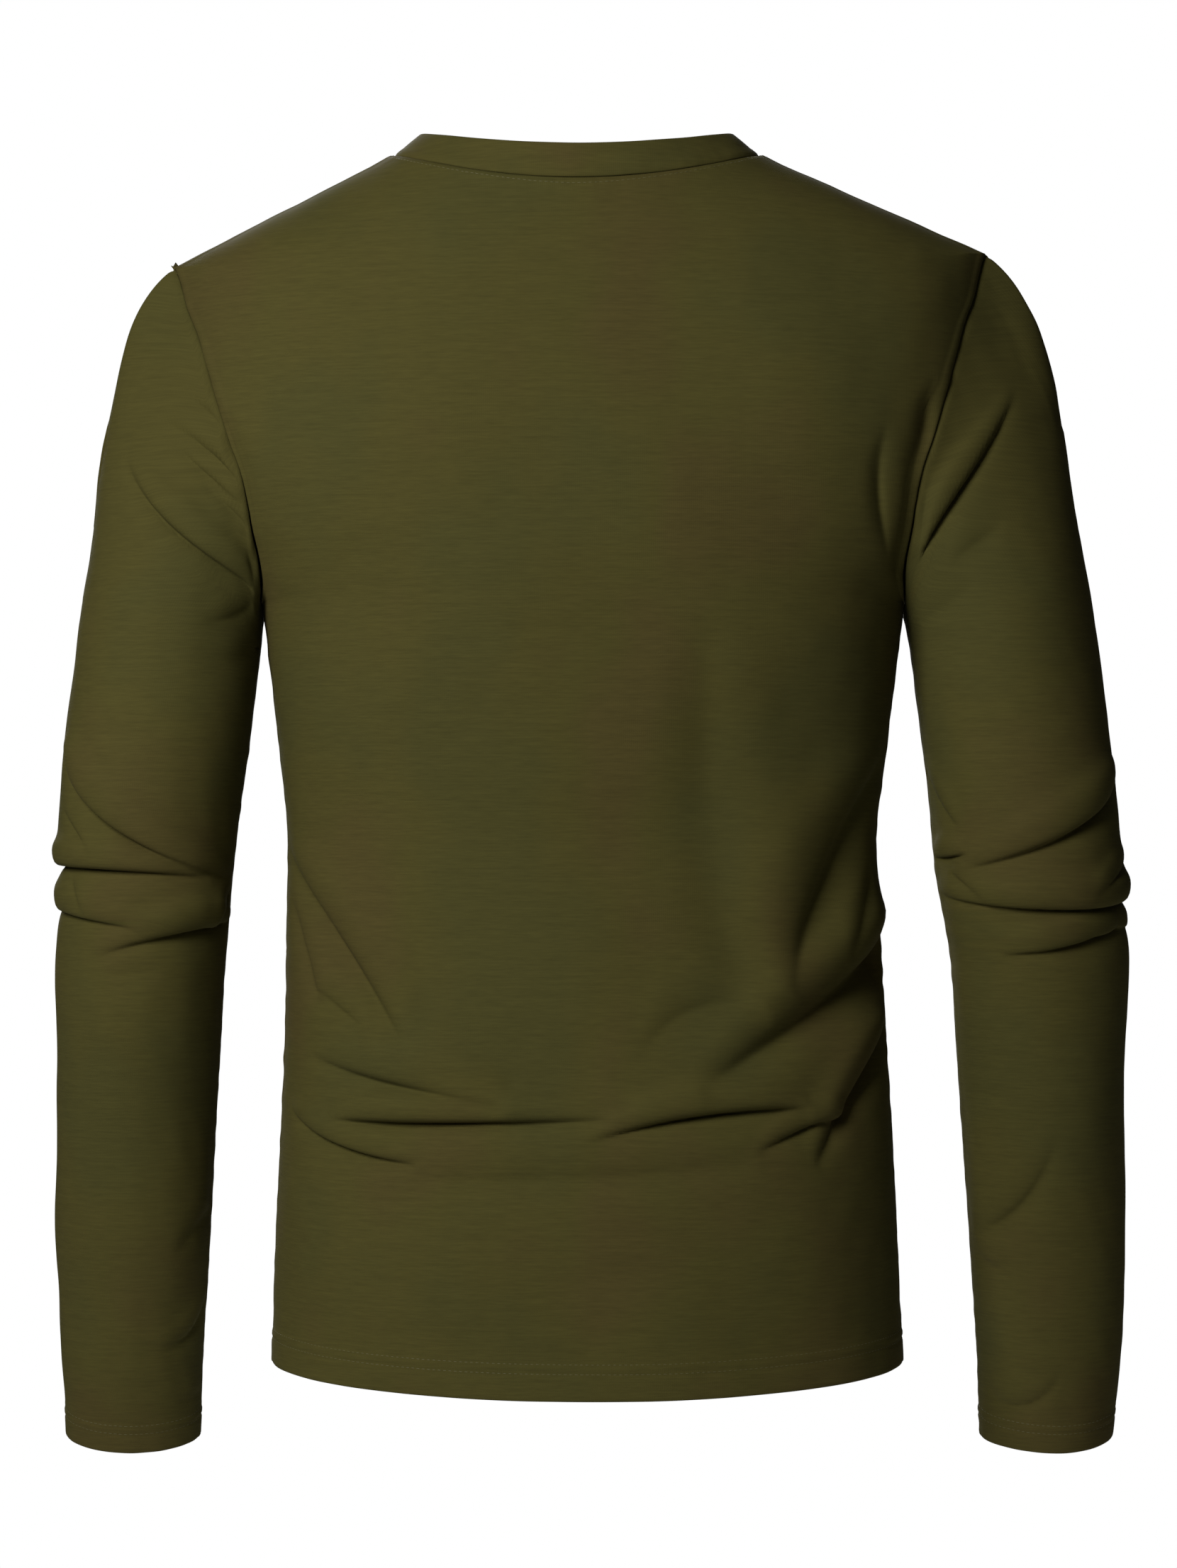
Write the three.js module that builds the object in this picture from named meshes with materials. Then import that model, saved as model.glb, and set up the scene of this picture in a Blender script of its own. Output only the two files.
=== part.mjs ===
// A man's long-sleeve T-shirt in cotton jersey, filled out as if it were worn, with nobody in it.
// Millimetres, +Z up, +X to the wearer's left, -Y out of the chest. The origin lies on the body's centre
// line between the neck ends of the two shoulder seams, where the wearer's shoulders carry the shirt.
// Five sewn pieces: back, front, two set-in sleeves and a folded neckband. Each is one closed wall of
// cloth, made as a grid of points on its outer face that is repeated inwards by the cloth's thickness.
import * as THREE from "three";

// ---- driving sizes ----
const cloth = {
  wall: 1.2,
  turnedUp: 2.2, // where the hem or a cuff is folded up inside
  band: 2.2, // the neckband, which is folded double
  seamInset: 0.2, // how far each piece's edge stops short of its seam
};
const hem = { depth: 20, step: 1.5 };
const neck = { halfWidth: 103, behind: 8, high: 1, lean: 5 }; // the shirt hangs a little to the left
const band = { height: 20, fold: 1, leanBack: 12, leanSide: 50, leanFront: 28 };
const shoulder = { reach: 229.5, behind: -2, drop: { left: 61, right: 53 } };
const armhole = { low: 250, backNotch: 0.35, frontNotch: 0.38 }; // notch: most of a row that is cut away
const detail = { backColumns: 24, frontColumns: 20, armholeRows: 10, shoulderRows: 5, capRows: 9 };

// ---- sections ----
// Body below the armholes: height and half width at the side seam, how far the middle of the back and
// of the front stand off it, how much lower than the side seam they hang, and how far the section as
// a whole lies to the wearer's left.
const bodySections = [
  { z: -677, half: 177, back: 108, front: 103, backSag: 9, frontSag: -3, lean: -1 },
  { z: -625, half: 175.5, back: 108, front: 103, backSag: 6, frontSag: -2, lean: -0.5 },
  { z: -560, half: 172.5, back: 105, front: 102, backSag: 2, frontSag: 0, lean: -0.5 },
  { z: -490, half: 169, back: 97, front: 102, backSag: 0, frontSag: 0, lean: 0 },
  { z: -430, half: 167, back: 91, front: 102, backSag: 0, frontSag: 0, lean: 1.2 },
  { z: -385, half: 165.5, back: 90, front: 103, backSag: 0, frontSag: 0, lean: 2 },
  { z: -335, half: 170.5, back: 94, front: 106, backSag: 0, frontSag: 0, lean: 1.5 },
  { z: -290, half: 175.7, back: 100, front: 112, backSag: 0, frontSag: 0, lean: 1.3 },
  { z: -250, half: 180.5, back: 104, front: 116, backSag: 0, frontSag: 0, lean: 1.3 },
];

// Body above the armholes' lowest point. level is 1 there, 2 at the shoulder points and 3 at the neck.
// y and z are the middle of the row. turn and climb say which way it meets its end, in degrees: straight
// forwards or backwards at 90, straight out at 0. flat and round are the handles of its curve, as
// shares of its half width and of its depth.
const backYoke = [
  { level: 1, y: 104, z: -250, turn: 90, climb: 0, flat: 0.64, round: 0.62 },
  { level: 1.25, y: 105.5, z: -223, turn: 90, climb: 0, flat: 0.645, round: 0.63 },
  { level: 1.5, y: 105, z: -172, turn: 84, climb: 0, flat: 0.67, round: 0.65 },
  { level: 1.75, y: 99.5, z: -118, turn: 70, climb: 0, flat: 0.66, round: 0.62 },
  { level: 2, y: 92, z: -82, turn: 58, climb: 0, flat: 0.62, round: 0.58 },
  { level: 2.5, y: 82, z: -47, turn: 68, climb: -3, flat: 0.58, round: 0.58 },
  { level: 3, y: 72, z: -19, turn: 86, climb: 2, flat: 0.58, round: 0.6 },
];
const frontYoke = [
  { level: 1, y: 116, z: -250, turn: 90, climb: 0, flat: 0.64, round: 0.62 },
  { level: 1.25, y: 117, z: -226, turn: 90, climb: 0, flat: 0.645, round: 0.63 },
  { level: 1.5, y: 116, z: -186, turn: 84, climb: 2, flat: 0.66, round: 0.64 },
  { level: 1.75, y: 111.5, z: -149, turn: 70, climb: 5, flat: 0.64, round: 0.62 },
  { level: 2, y: 105, z: -125, turn: 56, climb: 12, flat: 0.6, round: 0.6 },
  { level: 2.5, y: 96.5, z: -107, turn: 68, climb: 22, flat: 0.58, round: 0.62 },
  { level: 3, y: 88, z: -92, turn: 86, climb: 38, flat: 0.62, round: 0.74 },
];
// The outline that the rows between the underarm and the shoulder point run out to, and which the
// armhole cuts away: how far up and how far out it lies, both as shares.
const armholeOutline = [
  { up: 0, out: 0 },
  { up: 0.12, out: 0.22 },
  { up: 0.25, out: 0.5 },
  { up: 0.5, out: 0.86 },
  { up: 0.75, out: 0.98 },
  { up: 1, out: 1 },
];
// How much of its notch the armhole takes at each level. It meets the shoulder seam squarely.
const armholeNotch = [
  { level: 1, share: 0 },
  { level: 1.15, share: 0.53 },
  { level: 1.25, share: 0.74 },
  { level: 1.35, share: 0.92 },
  { level: 1.43, share: 0.985 },
  { level: 1.5, share: 0.93 },
  { level: 1.6, share: 0.77 },
  { level: 1.7, share: 0.53 },
  { level: 1.78, share: 0.27 },
  { level: 1.87, share: 0.12 },
  { level: 1.93, share: 0.05 },
  { level: 2, share: 0 },
];

// Sleeve below its cap: the height of each ring's middle, how far out and how far behind the side it
// lies, its half width and half depth, and how much further out and wider the right arm's is than the
// mean of the two. The forearm hangs a little forward.
const sleeveSections = [
  { z: -270, out: 234.3, behind: 1, width: 51.3, depth: 58, spread: 0.2, swell: 0.4 },
  { z: -325, out: 241.5, behind: 5, width: 52, depth: 56, spread: 0.4, swell: 0.3 },
  { z: -360, out: 245.6, behind: 7.5, width: 51.8, depth: 54.5, spread: 0.8, swell: 1.2 },
  { z: -395, out: 248.4, behind: 8, width: 51, depth: 53, spread: 1.1, swell: 1.8 },
  { z: -449, out: 252.8, behind: 2, width: 48.3, depth: 50, spread: 2.3, swell: 0.8 },
  { z: -509, out: 256.1, behind: -9, width: 46.9, depth: 47, spread: 2.3, swell: 0.7 },
  { z: -569, out: 258.8, behind: -22, width: 44.9, depth: 43, spread: 2.5, swell: 0.5 },
  { z: -629, out: 261.7, behind: -35, width: 43.1, depth: 39, spread: 2.8, swell: 0.3 },
  { z: -685, out: 263.6, behind: -48, width: 40.7, depth: 34.5, spread: 2.8, swell: 0.3 },
  { z: -727, out: 263.8, behind: -58, width: 38.4, depth: 31, spread: 2.4, swell: 0 },
];
// Rings between the cap and the cuff, closer together over the elbow's creases.
const sleeveStretches = [
  { to: -330, rows: 5 },
  { to: -470, rows: 18 },
  { to: -705.5, rows: 11 },
];
// How the cap leaves the armhole under the arm and at the shoulder point, in shares of a unit step out
// and down, and the handles of its curve at the armhole and at the first ring, as shares of its reach.
const cap = {
  under: { out: 0.12, down: 1, first: 0.3, second: 0.3 },
  top: { out: 0.8, down: 0.6, first: 0.22, second: 0.52 },
  pinch: 0.3, // how much it leaves inwards in front and behind
};
const sleeveAxisSpan = 24; // the stretch over which the arm's direction is taken
const armGirth = 50; // the arm's mean half width, which turns degrees round it into millimetres

// ---- folds ----
// Each row is one trough in a panel. On the body it runs between (a0, h0) and (a1, h1), where a is
// measured along the cloth from the centre line towards the wearer's left and h is the height. On a
// sleeve a is in degrees: 0 on the outside, 90 behind, 180 under the arm, 270 in front. bow bends its
// middle upwards, width is its half width, and ridge is the fullness above it as a share of its depth.
const backFolds = [
  { a0: -13, h0: -535, a1: 139, h1: -537, bow: 1, width: 10, depth: 6.5, ridge: 0.5 },
  { a0: -122, h0: -531, a1: -8, h1: -545, bow: 7, width: 9, depth: 4.5, ridge: 0.5 },
  { a0: -203, h0: -500, a1: -136, h1: -559, bow: 9, width: 9, depth: 4, ridge: 0.5 },
  { a0: -205, h0: -463, a1: -66, h1: -518, bow: 9, width: 14, depth: 5.5, ridge: 0.45 },
  { a0: -190, h0: -345, a1: -118, h1: -462, bow: 11, width: 15, depth: 4, ridge: 0.5 },
  { a0: -84, h0: -465, a1: -68, h1: -270, bow: -8, width: 22, depth: 3, ridge: 0.3 },
  { a0: 110, h0: -488, a1: 188, h1: -400, bow: 6, width: 14, depth: 5, ridge: 0.4 },
  { a0: 50, h0: -524, a1: 160, h1: -506, bow: -2, width: 10, depth: 3, ridge: 0.5 },
  { a0: 100, h0: -558, a1: 180, h1: -538, bow: -4, width: 8, depth: 3.5, ridge: 0.4 },
  { a0: -80, h0: -558, a1: 104, h1: -566, bow: -4, width: 14, depth: 2, ridge: 0.3 },
  { a0: -190, h0: -218, a1: -199, h1: -140, bow: 9, width: 13, depth: 5, ridge: -0.4 },
  { a0: 197, h0: -220, a1: 222, h1: -140, bow: 9, width: 12, depth: 3, ridge: 0 },
];
const frontFolds = [
  { a0: -178, h0: -480, a1: -52, h1: -512, bow: 6, width: 12, depth: 4, ridge: 0.5 },
  { a0: -120, h0: -540, a1: 20, h1: -533, bow: -4, width: 12, depth: 3, ridge: 0.5 },
  { a0: 44, h0: -516, a1: 186, h1: -470, bow: -7, width: 12, depth: 4.5, ridge: 0.5 },
  { a0: 92, h0: -470, a1: 190, h1: -396, bow: 5, width: 13, depth: 3.5, ridge: 0.4 },
  { a0: -188, h0: -400, a1: -104, h1: -462, bow: 6, width: 12, depth: 3, ridge: 0.4 },
  { a0: 58, h0: -250, a1: 186, h1: -190, bow: -8, width: 14, depth: 3.5, ridge: 0.3 },
  { a0: -186, h0: -186, a1: -66, h1: -252, bow: 8, width: 14, depth: 3.5, ridge: 0.3 },
];
const sleeveFolds = {
  left: [
    { a0: 59, h0: -172, a1: 176, h1: -243, bow: -12, width: 10, depth: 5, ridge: 0.5 },
    { a0: 77, h0: -144, a1: 162, h1: -192, bow: 2, width: 8, depth: 3, ridge: 0.4 },
    { a0: 20, h0: -338, a1: 166, h1: -406, bow: -14, width: 11, depth: 6.5, ridge: 0.5 },
    { a0: -24, h0: -398, a1: 142, h1: -404, bow: 3, width: 9, depth: 6, ridge: 0.5 },
    { a0: 58, h0: -452, a1: 178, h1: -430, bow: 6, width: 10, depth: 5, ridge: 0.6 },
    { a0: 30, h0: -421, a1: 100, h1: -433, bow: 1, width: 8, depth: 3, ridge: 0.4 },
    { a0: 92, h0: -668, a1: 176, h1: -642, bow: -14, width: 9, depth: 2.5, ridge: 0.3 },
    { a0: 190, h0: -380, a1: 322, h1: -362, bow: -6, width: 11, depth: 5.5, ridge: 0.5 },
    { a0: 214, h0: -412, a1: 352, h1: -404, bow: 6, width: 10, depth: 6, ridge: 0.5 },
    { a0: 196, h0: -436, a1: 300, h1: -452, bow: 4, width: 10, depth: 4, ridge: 0.5 },
    { a0: 196, h0: -238, a1: 290, h1: -190, bow: -8, width: 11, depth: 4, ridge: 0.4 },
  ],
  right: [
    { a0: 80, h0: -140, a1: 177, h1: -225, bow: -7, width: 10, depth: 5.5, ridge: 0.5 },
    { a0: 14, h0: -350, a1: 142, h1: -401, bow: -8, width: 11, depth: 6.5, ridge: 0.5 },
    { a0: -20, h0: -411, a1: 172, h1: -414, bow: -9, width: 10, depth: 6.5, ridge: 0.5 },
    { a0: 30, h0: -430, a1: 120, h1: -448, bow: -3, width: 10, depth: 5, ridge: 0.5 },
    { a0: 142, h0: -376, a1: 180, h1: -341, bow: 0, width: 8, depth: 3, ridge: 0.4 },
    { a0: 86, h0: -550, a1: 158, h1: -607, bow: -12, width: 10, depth: 3, ridge: 0.4 },
    { a0: 200, h0: -372, a1: 338, h1: -356, bow: -8, width: 11, depth: 5, ridge: 0.5 },
    { a0: 190, h0: -404, a1: 318, h1: -414, bow: 6, width: 10, depth: 6, ridge: 0.5 },
    { a0: 226, h0: -446, a1: 350, h1: -436, bow: -4, width: 10, depth: 4.5, ridge: 0.5 },
    { a0: 192, h0: -226, a1: 280, h1: -176, bow: -8, width: 11, depth: 4, ridge: 0.4 },
  ],
};
const foldFade = 16; // folds die out over this distance from a seam
const foldEnds = 0.7; // below 1, a fold keeps its depth nearer to its ends
const ridgePlace = 1.7; // where the ridge's crest lies, in half widths from the trough
const ridgeSpread = 1.2;

// ---- helpers ----
const vec = (x, y, z) => new THREE.Vector3(x, y, z);
const rad = THREE.MathUtils.degToRad;
const mix = THREE.MathUtils.lerp;
const ease = (x, low, high) => THREE.MathUtils.smoothstep(x, low, high);
const sideName = (side) => (side > 0 ? "left" : "right");
const count = (n, make) => Array.from({ length: n }, (_, i) => make(i));

// The value of one column of a table at a place along another. The curve doesn't overshoot its rows.
function along(table, by, key, place) {
  const rows = [...table].sort((a, b) => a[by] - b[by]);
  const x = rows.map((row) => row[by]);
  const y = rows.map((row) => row[key]);
  const last = x.length - 1;
  const slope = count(last, (i) => (y[i + 1] - y[i]) / (x[i + 1] - x[i]));
  const tangent = x.map((_, i) => {
    if (i === 0) return slope[0];
    if (i === last) return slope[last - 1];
    const product = slope[i - 1] * slope[i];
    return product <= 0 ? 0 : (2 * product) / (slope[i - 1] + slope[i]);
  });
  const at = THREE.MathUtils.clamp(place, x[0], x[last]);
  let i = 0;
  while (i < last - 1 && at > x[i + 1]) i += 1;
  const h = x[i + 1] - x[i];
  const t = (at - x[i]) / h;
  const rest = 1 - t;
  return (
    y[i] * (1 + 2 * t) * rest * rest +
    tangent[i] * h * t * rest * rest +
    y[i + 1] * t * t * (3 - 2 * t) -
    tangent[i + 1] * h * t * t * rest
  );
}

function bezier(a, b, c, d, t) {
  const s = 1 - t;
  return vec(0, 0, 0)
    .addScaledVector(a, s * s * s)
    .addScaledVector(b, 3 * s * s * t)
    .addScaledVector(c, 3 * s * t * t)
    .addScaledVector(d, t * t * t);
}

// ---- body ----
// A point of the back (facing 1) or the front (facing -1). level is 0 at the hem, 1 under the arm, 2
// at the shoulder point and 3 at the neck. across is 0 in the middle and 1 at the wearer's left seam.
// Each row is a curve from the middle to the side, the armhole's outline or the shoulder seam.
function bodyPoint(facing, level, across) {
  const side = across < 0 ? -1 : 1;
  const underarm = bodySections[bodySections.length - 1];
  const drop = shoulder.drop[sideName(side)];
  const row = { ...backYoke[0] };
  let end;
  let cut = 0;
  if (level < 1) {
    row.z = mix(bodySections[0].z, underarm.z, level);
    const size = (key) => along(bodySections, "z", key, row.z);
    end = vec(side * size("half"), 0, row.z);
    row.lean = size("lean");
    row.y = size(facing > 0 ? "back" : "front");
    row.z -= size(facing > 0 ? "backSag" : "frontSag");
  } else {
    const yoke = facing > 0 ? backYoke : frontYoke;
    for (const key of Object.keys(row)) row[key] = along(yoke, "level", key, level);
    row.lean = mix(underarm.lean, neck.lean, (level - 1) / 2);
    const rise = Math.PI * (level - 1);
    if (level < 2) {
      const up = (1 - Math.cos(rise)) / 2;
      const out = along(armholeOutline, "up", "out", up);
      end = vec(
        side * mix(underarm.half, shoulder.reach, out),
        shoulder.behind * up,
        mix(-armhole.low, -drop, up),
      );
      const deepest = facing > 0 ? armhole.backNotch : armhole.frontNotch;
      cut = deepest * along(armholeNotch, "level", "share", level);
    } else {
      const outer = vec(side * shoulder.reach, shoulder.behind, -drop);
      const inner = vec(side * neck.halfWidth, neck.behind, neck.high);
      end = outer.lerp(inner, 1 - Math.sin(rise / 2));
    }
  }
  const middle = vec(0, facing * row.y, row.z);
  const [turn, climb] = [rad(row.turn), rad(row.climb)];
  const forwards = -facing * Math.sin(turn) * Math.cos(climb);
  const heading = vec(side * Math.cos(turn) * Math.cos(climb), forwards, Math.sin(climb));
  const fromMiddle = middle.clone().add(vec(end.x * row.flat, 0, 0));
  const toEnd = end.clone().addScaledVector(heading, -Math.abs(middle.y - end.y) * row.round);
  const point = bezier(middle, fromMiddle, toEnd, end, Math.abs(across) * (1 - cut));
  point.x += row.lean;
  return point;
}

// The armhole. turn is 0 at the shoulder point, 90 behind, 180 under the arm and 270 in front.
function armholeSeam(side, turn) {
  const fromUnderarm = Math.abs(180 - turn) / 180;
  return bodyPoint(turn <= 180 ? 1 : -1, 1 + fromUnderarm, side);
}

// Levels of a panel's rows: two at the turned-up hem, then evenly or closer together where folds lie.
function bodyLevels(stretches) {
  const low = bodySections[0].z;
  const level = (z) => (z - low) / (-armhole.low - low);
  const heights = [low, low + hem.depth];
  let from = low + hem.depth + hem.step;
  for (const { to, rows } of stretches) {
    heights.push(...count(rows, (i) => mix(from, to, i / rows)));
    from = to;
  }
  const { armholeRows, shoulderRows } = detail;
  return [
    ...heights.map(level),
    ...count(armholeRows, (i) => 1 + i / armholeRows),
    ...count(shoulderRows + 1, (i) => 2 + i / shoulderRows),
  ];
}

// ---- sleeves ----
function sleeveMiddle(side, z) {
  const size = (key) => along(sleeveSections, "z", key, z);
  return vec(side * size("out") - size("spread"), size("behind"), z);
}

// Which way the arm runs at a height: down, a little out, and forward below the elbow.
function armWay(side, z) {
  const top = sleeveSections[0].z;
  const low = sleeveSections[sleeveSections.length - 1].z;
  const above = sleeveMiddle(side, Math.min(z + sleeveAxisSpan / 2, top));
  const below = sleeveMiddle(side, Math.max(z - sleeveAxisSpan / 2, low));
  return below.sub(above).normalize();
}

function sleeveRing(side, z, turn) {
  const size = (key) => along(sleeveSections, "z", key, z);
  const way = armWay(side, z);
  const behind = vec(0, 1, 0).addScaledVector(way, -way.y).normalize();
  const out = way.clone().cross(behind);
  if (out.x * side < 0) out.negate();
  return sleeveMiddle(side, z)
    .addScaledVector(out, (size("width") - side * size("swell")) * Math.cos(rad(turn)))
    .addScaledVector(behind, size("depth") * Math.sin(rad(turn)));
}

// A sleeve point. down is 0 at the armhole, 1 at the first ring under it and 2 at the cuff's edge.
function sleevePoint(side, down, turn) {
  const top = sleeveSections[0].z;
  const low = sleeveSections[sleeveSections.length - 1].z;
  if (down > 1) return sleeveRing(side, mix(top, low, down - 1), turn);
  const start = armholeSeam(side, turn);
  const end = sleeveRing(side, top, turn);
  const reach = start.distanceTo(end);
  const high = (1 + Math.cos(rad(turn))) / 2;
  const value = (key, share) => mix(cap.under[key], cap.top[key], share);
  const leave = vec(
    side * value("out", Math.sqrt(high)),
    -cap.pinch * Math.sin(rad(turn)),
    -value("down", Math.sqrt(high)),
  ).normalize();
  const first = start.clone().addScaledVector(leave, reach * value("first", high));
  const second = end.clone().addScaledVector(armWay(side, top), -reach * value("second", high));
  return bezier(start, first, second, end, down);
}

// Steps down a sleeve: the cap, the arm and the turned-up cuff.
function sleeveSteps() {
  const top = sleeveSections[0].z;
  const low = sleeveSections[sleeveSections.length - 1].z;
  const heights = [];
  let from = top;
  for (const { to, rows } of sleeveStretches) {
    heights.push(...count(rows, (i) => mix(from, to, i / rows)));
    from = to;
  }
  heights.push(low + hem.depth + hem.step, low + hem.depth, low);
  const capSteps = count(detail.capRows, (i) => i / detail.capRows);
  return [...capSteps, ...heights.map((z) => 1 + (z - top) / (low - top))];
}

// ---- folds on a surface ----
// How far the cloth at (a, h) moves outwards. scale turns a into millimetres.
function foldShift(folds, a, h, scale) {
  let shift = 0;
  for (const fold of folds) {
    const runA = (fold.a1 - fold.a0) * scale;
    const runH = fold.h1 - fold.h0;
    const length = Math.hypot(runA, runH);
    const fromA = (a - fold.a0) * scale;
    const fromH = h - fold.h0;
    const share = (fromA * runA + fromH * runH) / (length * length);
    if (share <= 0 || share >= 1) continue;
    const bent = 4 * fold.bow * share * (1 - share);
    const off = ((fromH * runA - fromA * runH) / length - bent) / fold.width;
    const trough = Math.exp(-off * off);
    const ridge = fold.ridge * Math.exp(-((off - ridgePlace) ** 2) / ridgeSpread);
    shift += fold.depth * Math.sin(Math.PI * share) ** foldEnds * (ridge - trough);
  }
  return shift;
}

// ---- cloth walls ----
// A piece is a grid of points on its outer face. rows run along it, columns across it, and a closed
// piece joins its last column to its first. facing is 1 or -1, whichever makes its normals point out.
function neighbours(piece, j, i) {
  const { points, closed } = piece;
  const columns = points[0].length;
  const wrap = (k) => (closed ? (k + columns) % columns : Math.min(Math.max(k, 0), columns - 1));
  const clamp = (k) => Math.min(Math.max(k, 0), points.length - 1);
  return {
    left: points[j][wrap(i - 1)],
    right: points[j][wrap(i + 1)],
    before: points[clamp(j - 1)][i],
    after: points[clamp(j + 1)][i],
  };
}

function gridNormal(piece, j, i) {
  const near = neighbours(piece, j, i);
  const across = near.right.clone().sub(near.left);
  const up = near.after.clone().sub(near.before);
  return across.cross(up).multiplyScalar(piece.facing).normalize();
}

// The direction from an edge point into its own piece, square to the edge. It is longer at a corner,
// up to one over sharpestBend.
const sharpestBend = 0.6;
function intoPiece(point, inner, before, after) {
  const first = before === point ? after.clone().sub(point) : point.clone().sub(before);
  const second = after === point ? first.clone() : after.clone().sub(point);
  const edge = first.normalize().add(second.normalize());
  const bend = Math.max(edge.length() / 2, sharpestBend);
  edge.normalize();
  const way = inner.clone().sub(point);
  return way.addScaledVector(edge, -way.dot(edge)).setLength(1 / bend);
}

// The piece's points that lie on seams, each with its way into the piece.
function seamSpots(piece) {
  const { points, closed, seamRow } = piece;
  const rows = points.length;
  const columns = points[0].length;
  const spots = new Map();
  const note = (j, i, inner) => {
    const point = points[j][i];
    const near = neighbours(piece, j, i);
    const alongRow = inner.j !== j;
    const ends = alongRow ? [near.left, near.right] : [near.before, near.after];
    const way = intoPiece(point, points[inner.j][inner.i], ...ends);
    const key = j * columns + i;
    if (spots.has(key)) spots.get(key).way.add(way);
    else spots.set(key, { piece, j, i, point: point.clone(), way });
  };
  if (!closed) {
    for (let j = 0; j < rows; j += 1) {
      note(j, 0, { j, i: 1 });
      note(j, columns - 1, { j, i: columns - 2 });
    }
  }
  const innerRow = seamRow === 0 ? 1 : rows - 2;
  for (let i = 0; i < columns; i += 1) note(seamRow, i, { j: innerRow, i });
  return [...spots.values()];
}

// Where pieces meet, their edges share one normal, or stand apart where they face each other. Points of
// two pieces within sameSpot are one spot of a seam, and normals that agree less than alike are not joined.
const sameSpot = 0.05;
const alike = 0.5;
function settleSeams(pieces) {
  const spots = pieces.flatMap(seamSpots);
  const shifts = spots.map((spot) => {
    const own = spot.piece.normals[spot.j][spot.i];
    const normal = own.clone();
    let facingAway = 0;
    for (const other of spots) {
      if (other.piece === spot.piece || other.point.distanceTo(spot.point) > sameSpot) continue;
      const theirs = other.piece.normals[other.j][other.i];
      const agreement = own.dot(theirs);
      normal.addScaledVector(theirs, ease(agreement, 0, alike));
      facingAway = Math.max(facingAway, (1 - agreement) / 2);
    }
    normal.normalize();
    const move = spot.way.clone().projectOnPlane(normal).setLength(spot.way.length());
    move.addScaledVector(own, -facingAway).multiplyScalar(cloth.seamInset);
    return { spot, normal, move };
  });
  for (const { spot, normal, move } of shifts) {
    spot.piece.points[spot.j][spot.i].add(move);
    spot.piece.normals[spot.j][spot.i] = normal;
  }
}

// A closed wall between the outer points and the same points moved in by each row's thickness.
function wallMesh(piece) {
  const { points, normals, closed, thickness } = piece;
  const rows = points.length;
  const columns = points[0].length;
  const outer = points.flat();
  const inner = outer.map((point, k) => {
    const j = Math.floor(k / columns);
    return point.clone().addScaledVector(normals[j][k % columns], -thickness[j]);
  });
  const corners = [...outer, ...inner];
  const faces = [];
  const triangle = (a, b, c) => faces.push(a, ...(piece.facing > 0 ? [b, c] : [c, b]));
  // Four corners become two triangles along the shorter diagonal, which follows the surface better.
  const quad = (a, b, c, d) => {
    const across = corners[a].distanceTo(corners[c]) <= corners[b].distanceTo(corners[d]);
    const [first, second, third, fourth] = across ? [a, b, c, d] : [b, c, d, a];
    triangle(first, second, third);
    triangle(first, third, fourth);
  };
  const inside = outer.length;
  const at = (j, i) => j * columns + (i % columns);
  const rim = (a, b) => quad(b, a, inside + a, inside + b);
  const steps = closed ? columns : columns - 1;
  for (let i = 0; i < steps; i += 1) {
    for (let j = 0; j < rows - 1; j += 1) {
      const [a, b, c, d] = [at(j, i), at(j, i + 1), at(j + 1, i + 1), at(j + 1, i)];
      quad(a, b, c, d);
      quad(inside + a, inside + d, inside + c, inside + b);
    }
    rim(at(0, i), at(0, i + 1));
    rim(at(rows - 1, i + 1), at(rows - 1, i));
  }
  if (!closed) {
    for (let j = 0; j < rows - 1; j += 1) {
      rim(at(j + 1, 0), at(j, 0));
      rim(at(j, columns - 1), at(j + 1, columns - 1));
    }
  }
  const geometry = new THREE.BufferGeometry();
  const numbers = corners.flatMap((point) => point.toArray());
  geometry.setAttribute("position", new THREE.Float32BufferAttribute(numbers, 3));
  geometry.setIndex(faces);
  geometry.computeVertexNormals();
  const mesh = new THREE.Mesh(geometry, piece.material);
  mesh.name = piece.name;
  return mesh;
}

// ---- materials ----
const jersey = { color: 0x3d3919, roughness: 0.86, metalness: 0 };
const bandJersey = { color: 0x3a3618, roughness: 0.9, metalness: 0 };

// ---- pieces ----
// Distances along a row of the body from its middle, positive towards the wearer's left.
function rowDistances(row) {
  const middle = (row.length - 1) / 2;
  const distances = row.map(() => 0);
  for (let i = middle + 1; i < row.length; i += 1) {
    distances[i] = distances[i - 1] + row[i].distanceTo(row[i - 1]);
  }
  for (let i = middle - 1; i >= 0; i -= 1) {
    distances[i] = distances[i + 1] - row[i].distanceTo(row[i + 1]);
  }
  return distances;
}

// A normal taken from the surface itself, from points close round one place on it.
function surfaceNormal(surface, u, v, near, facing) {
  const across = surface(u, v + near.v).sub(surface(u, v - near.v));
  const up = surface(u + near.u, v).sub(surface(u - near.u, v));
  return across.cross(up).multiplyScalar(facing).normalize();
}

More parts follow.
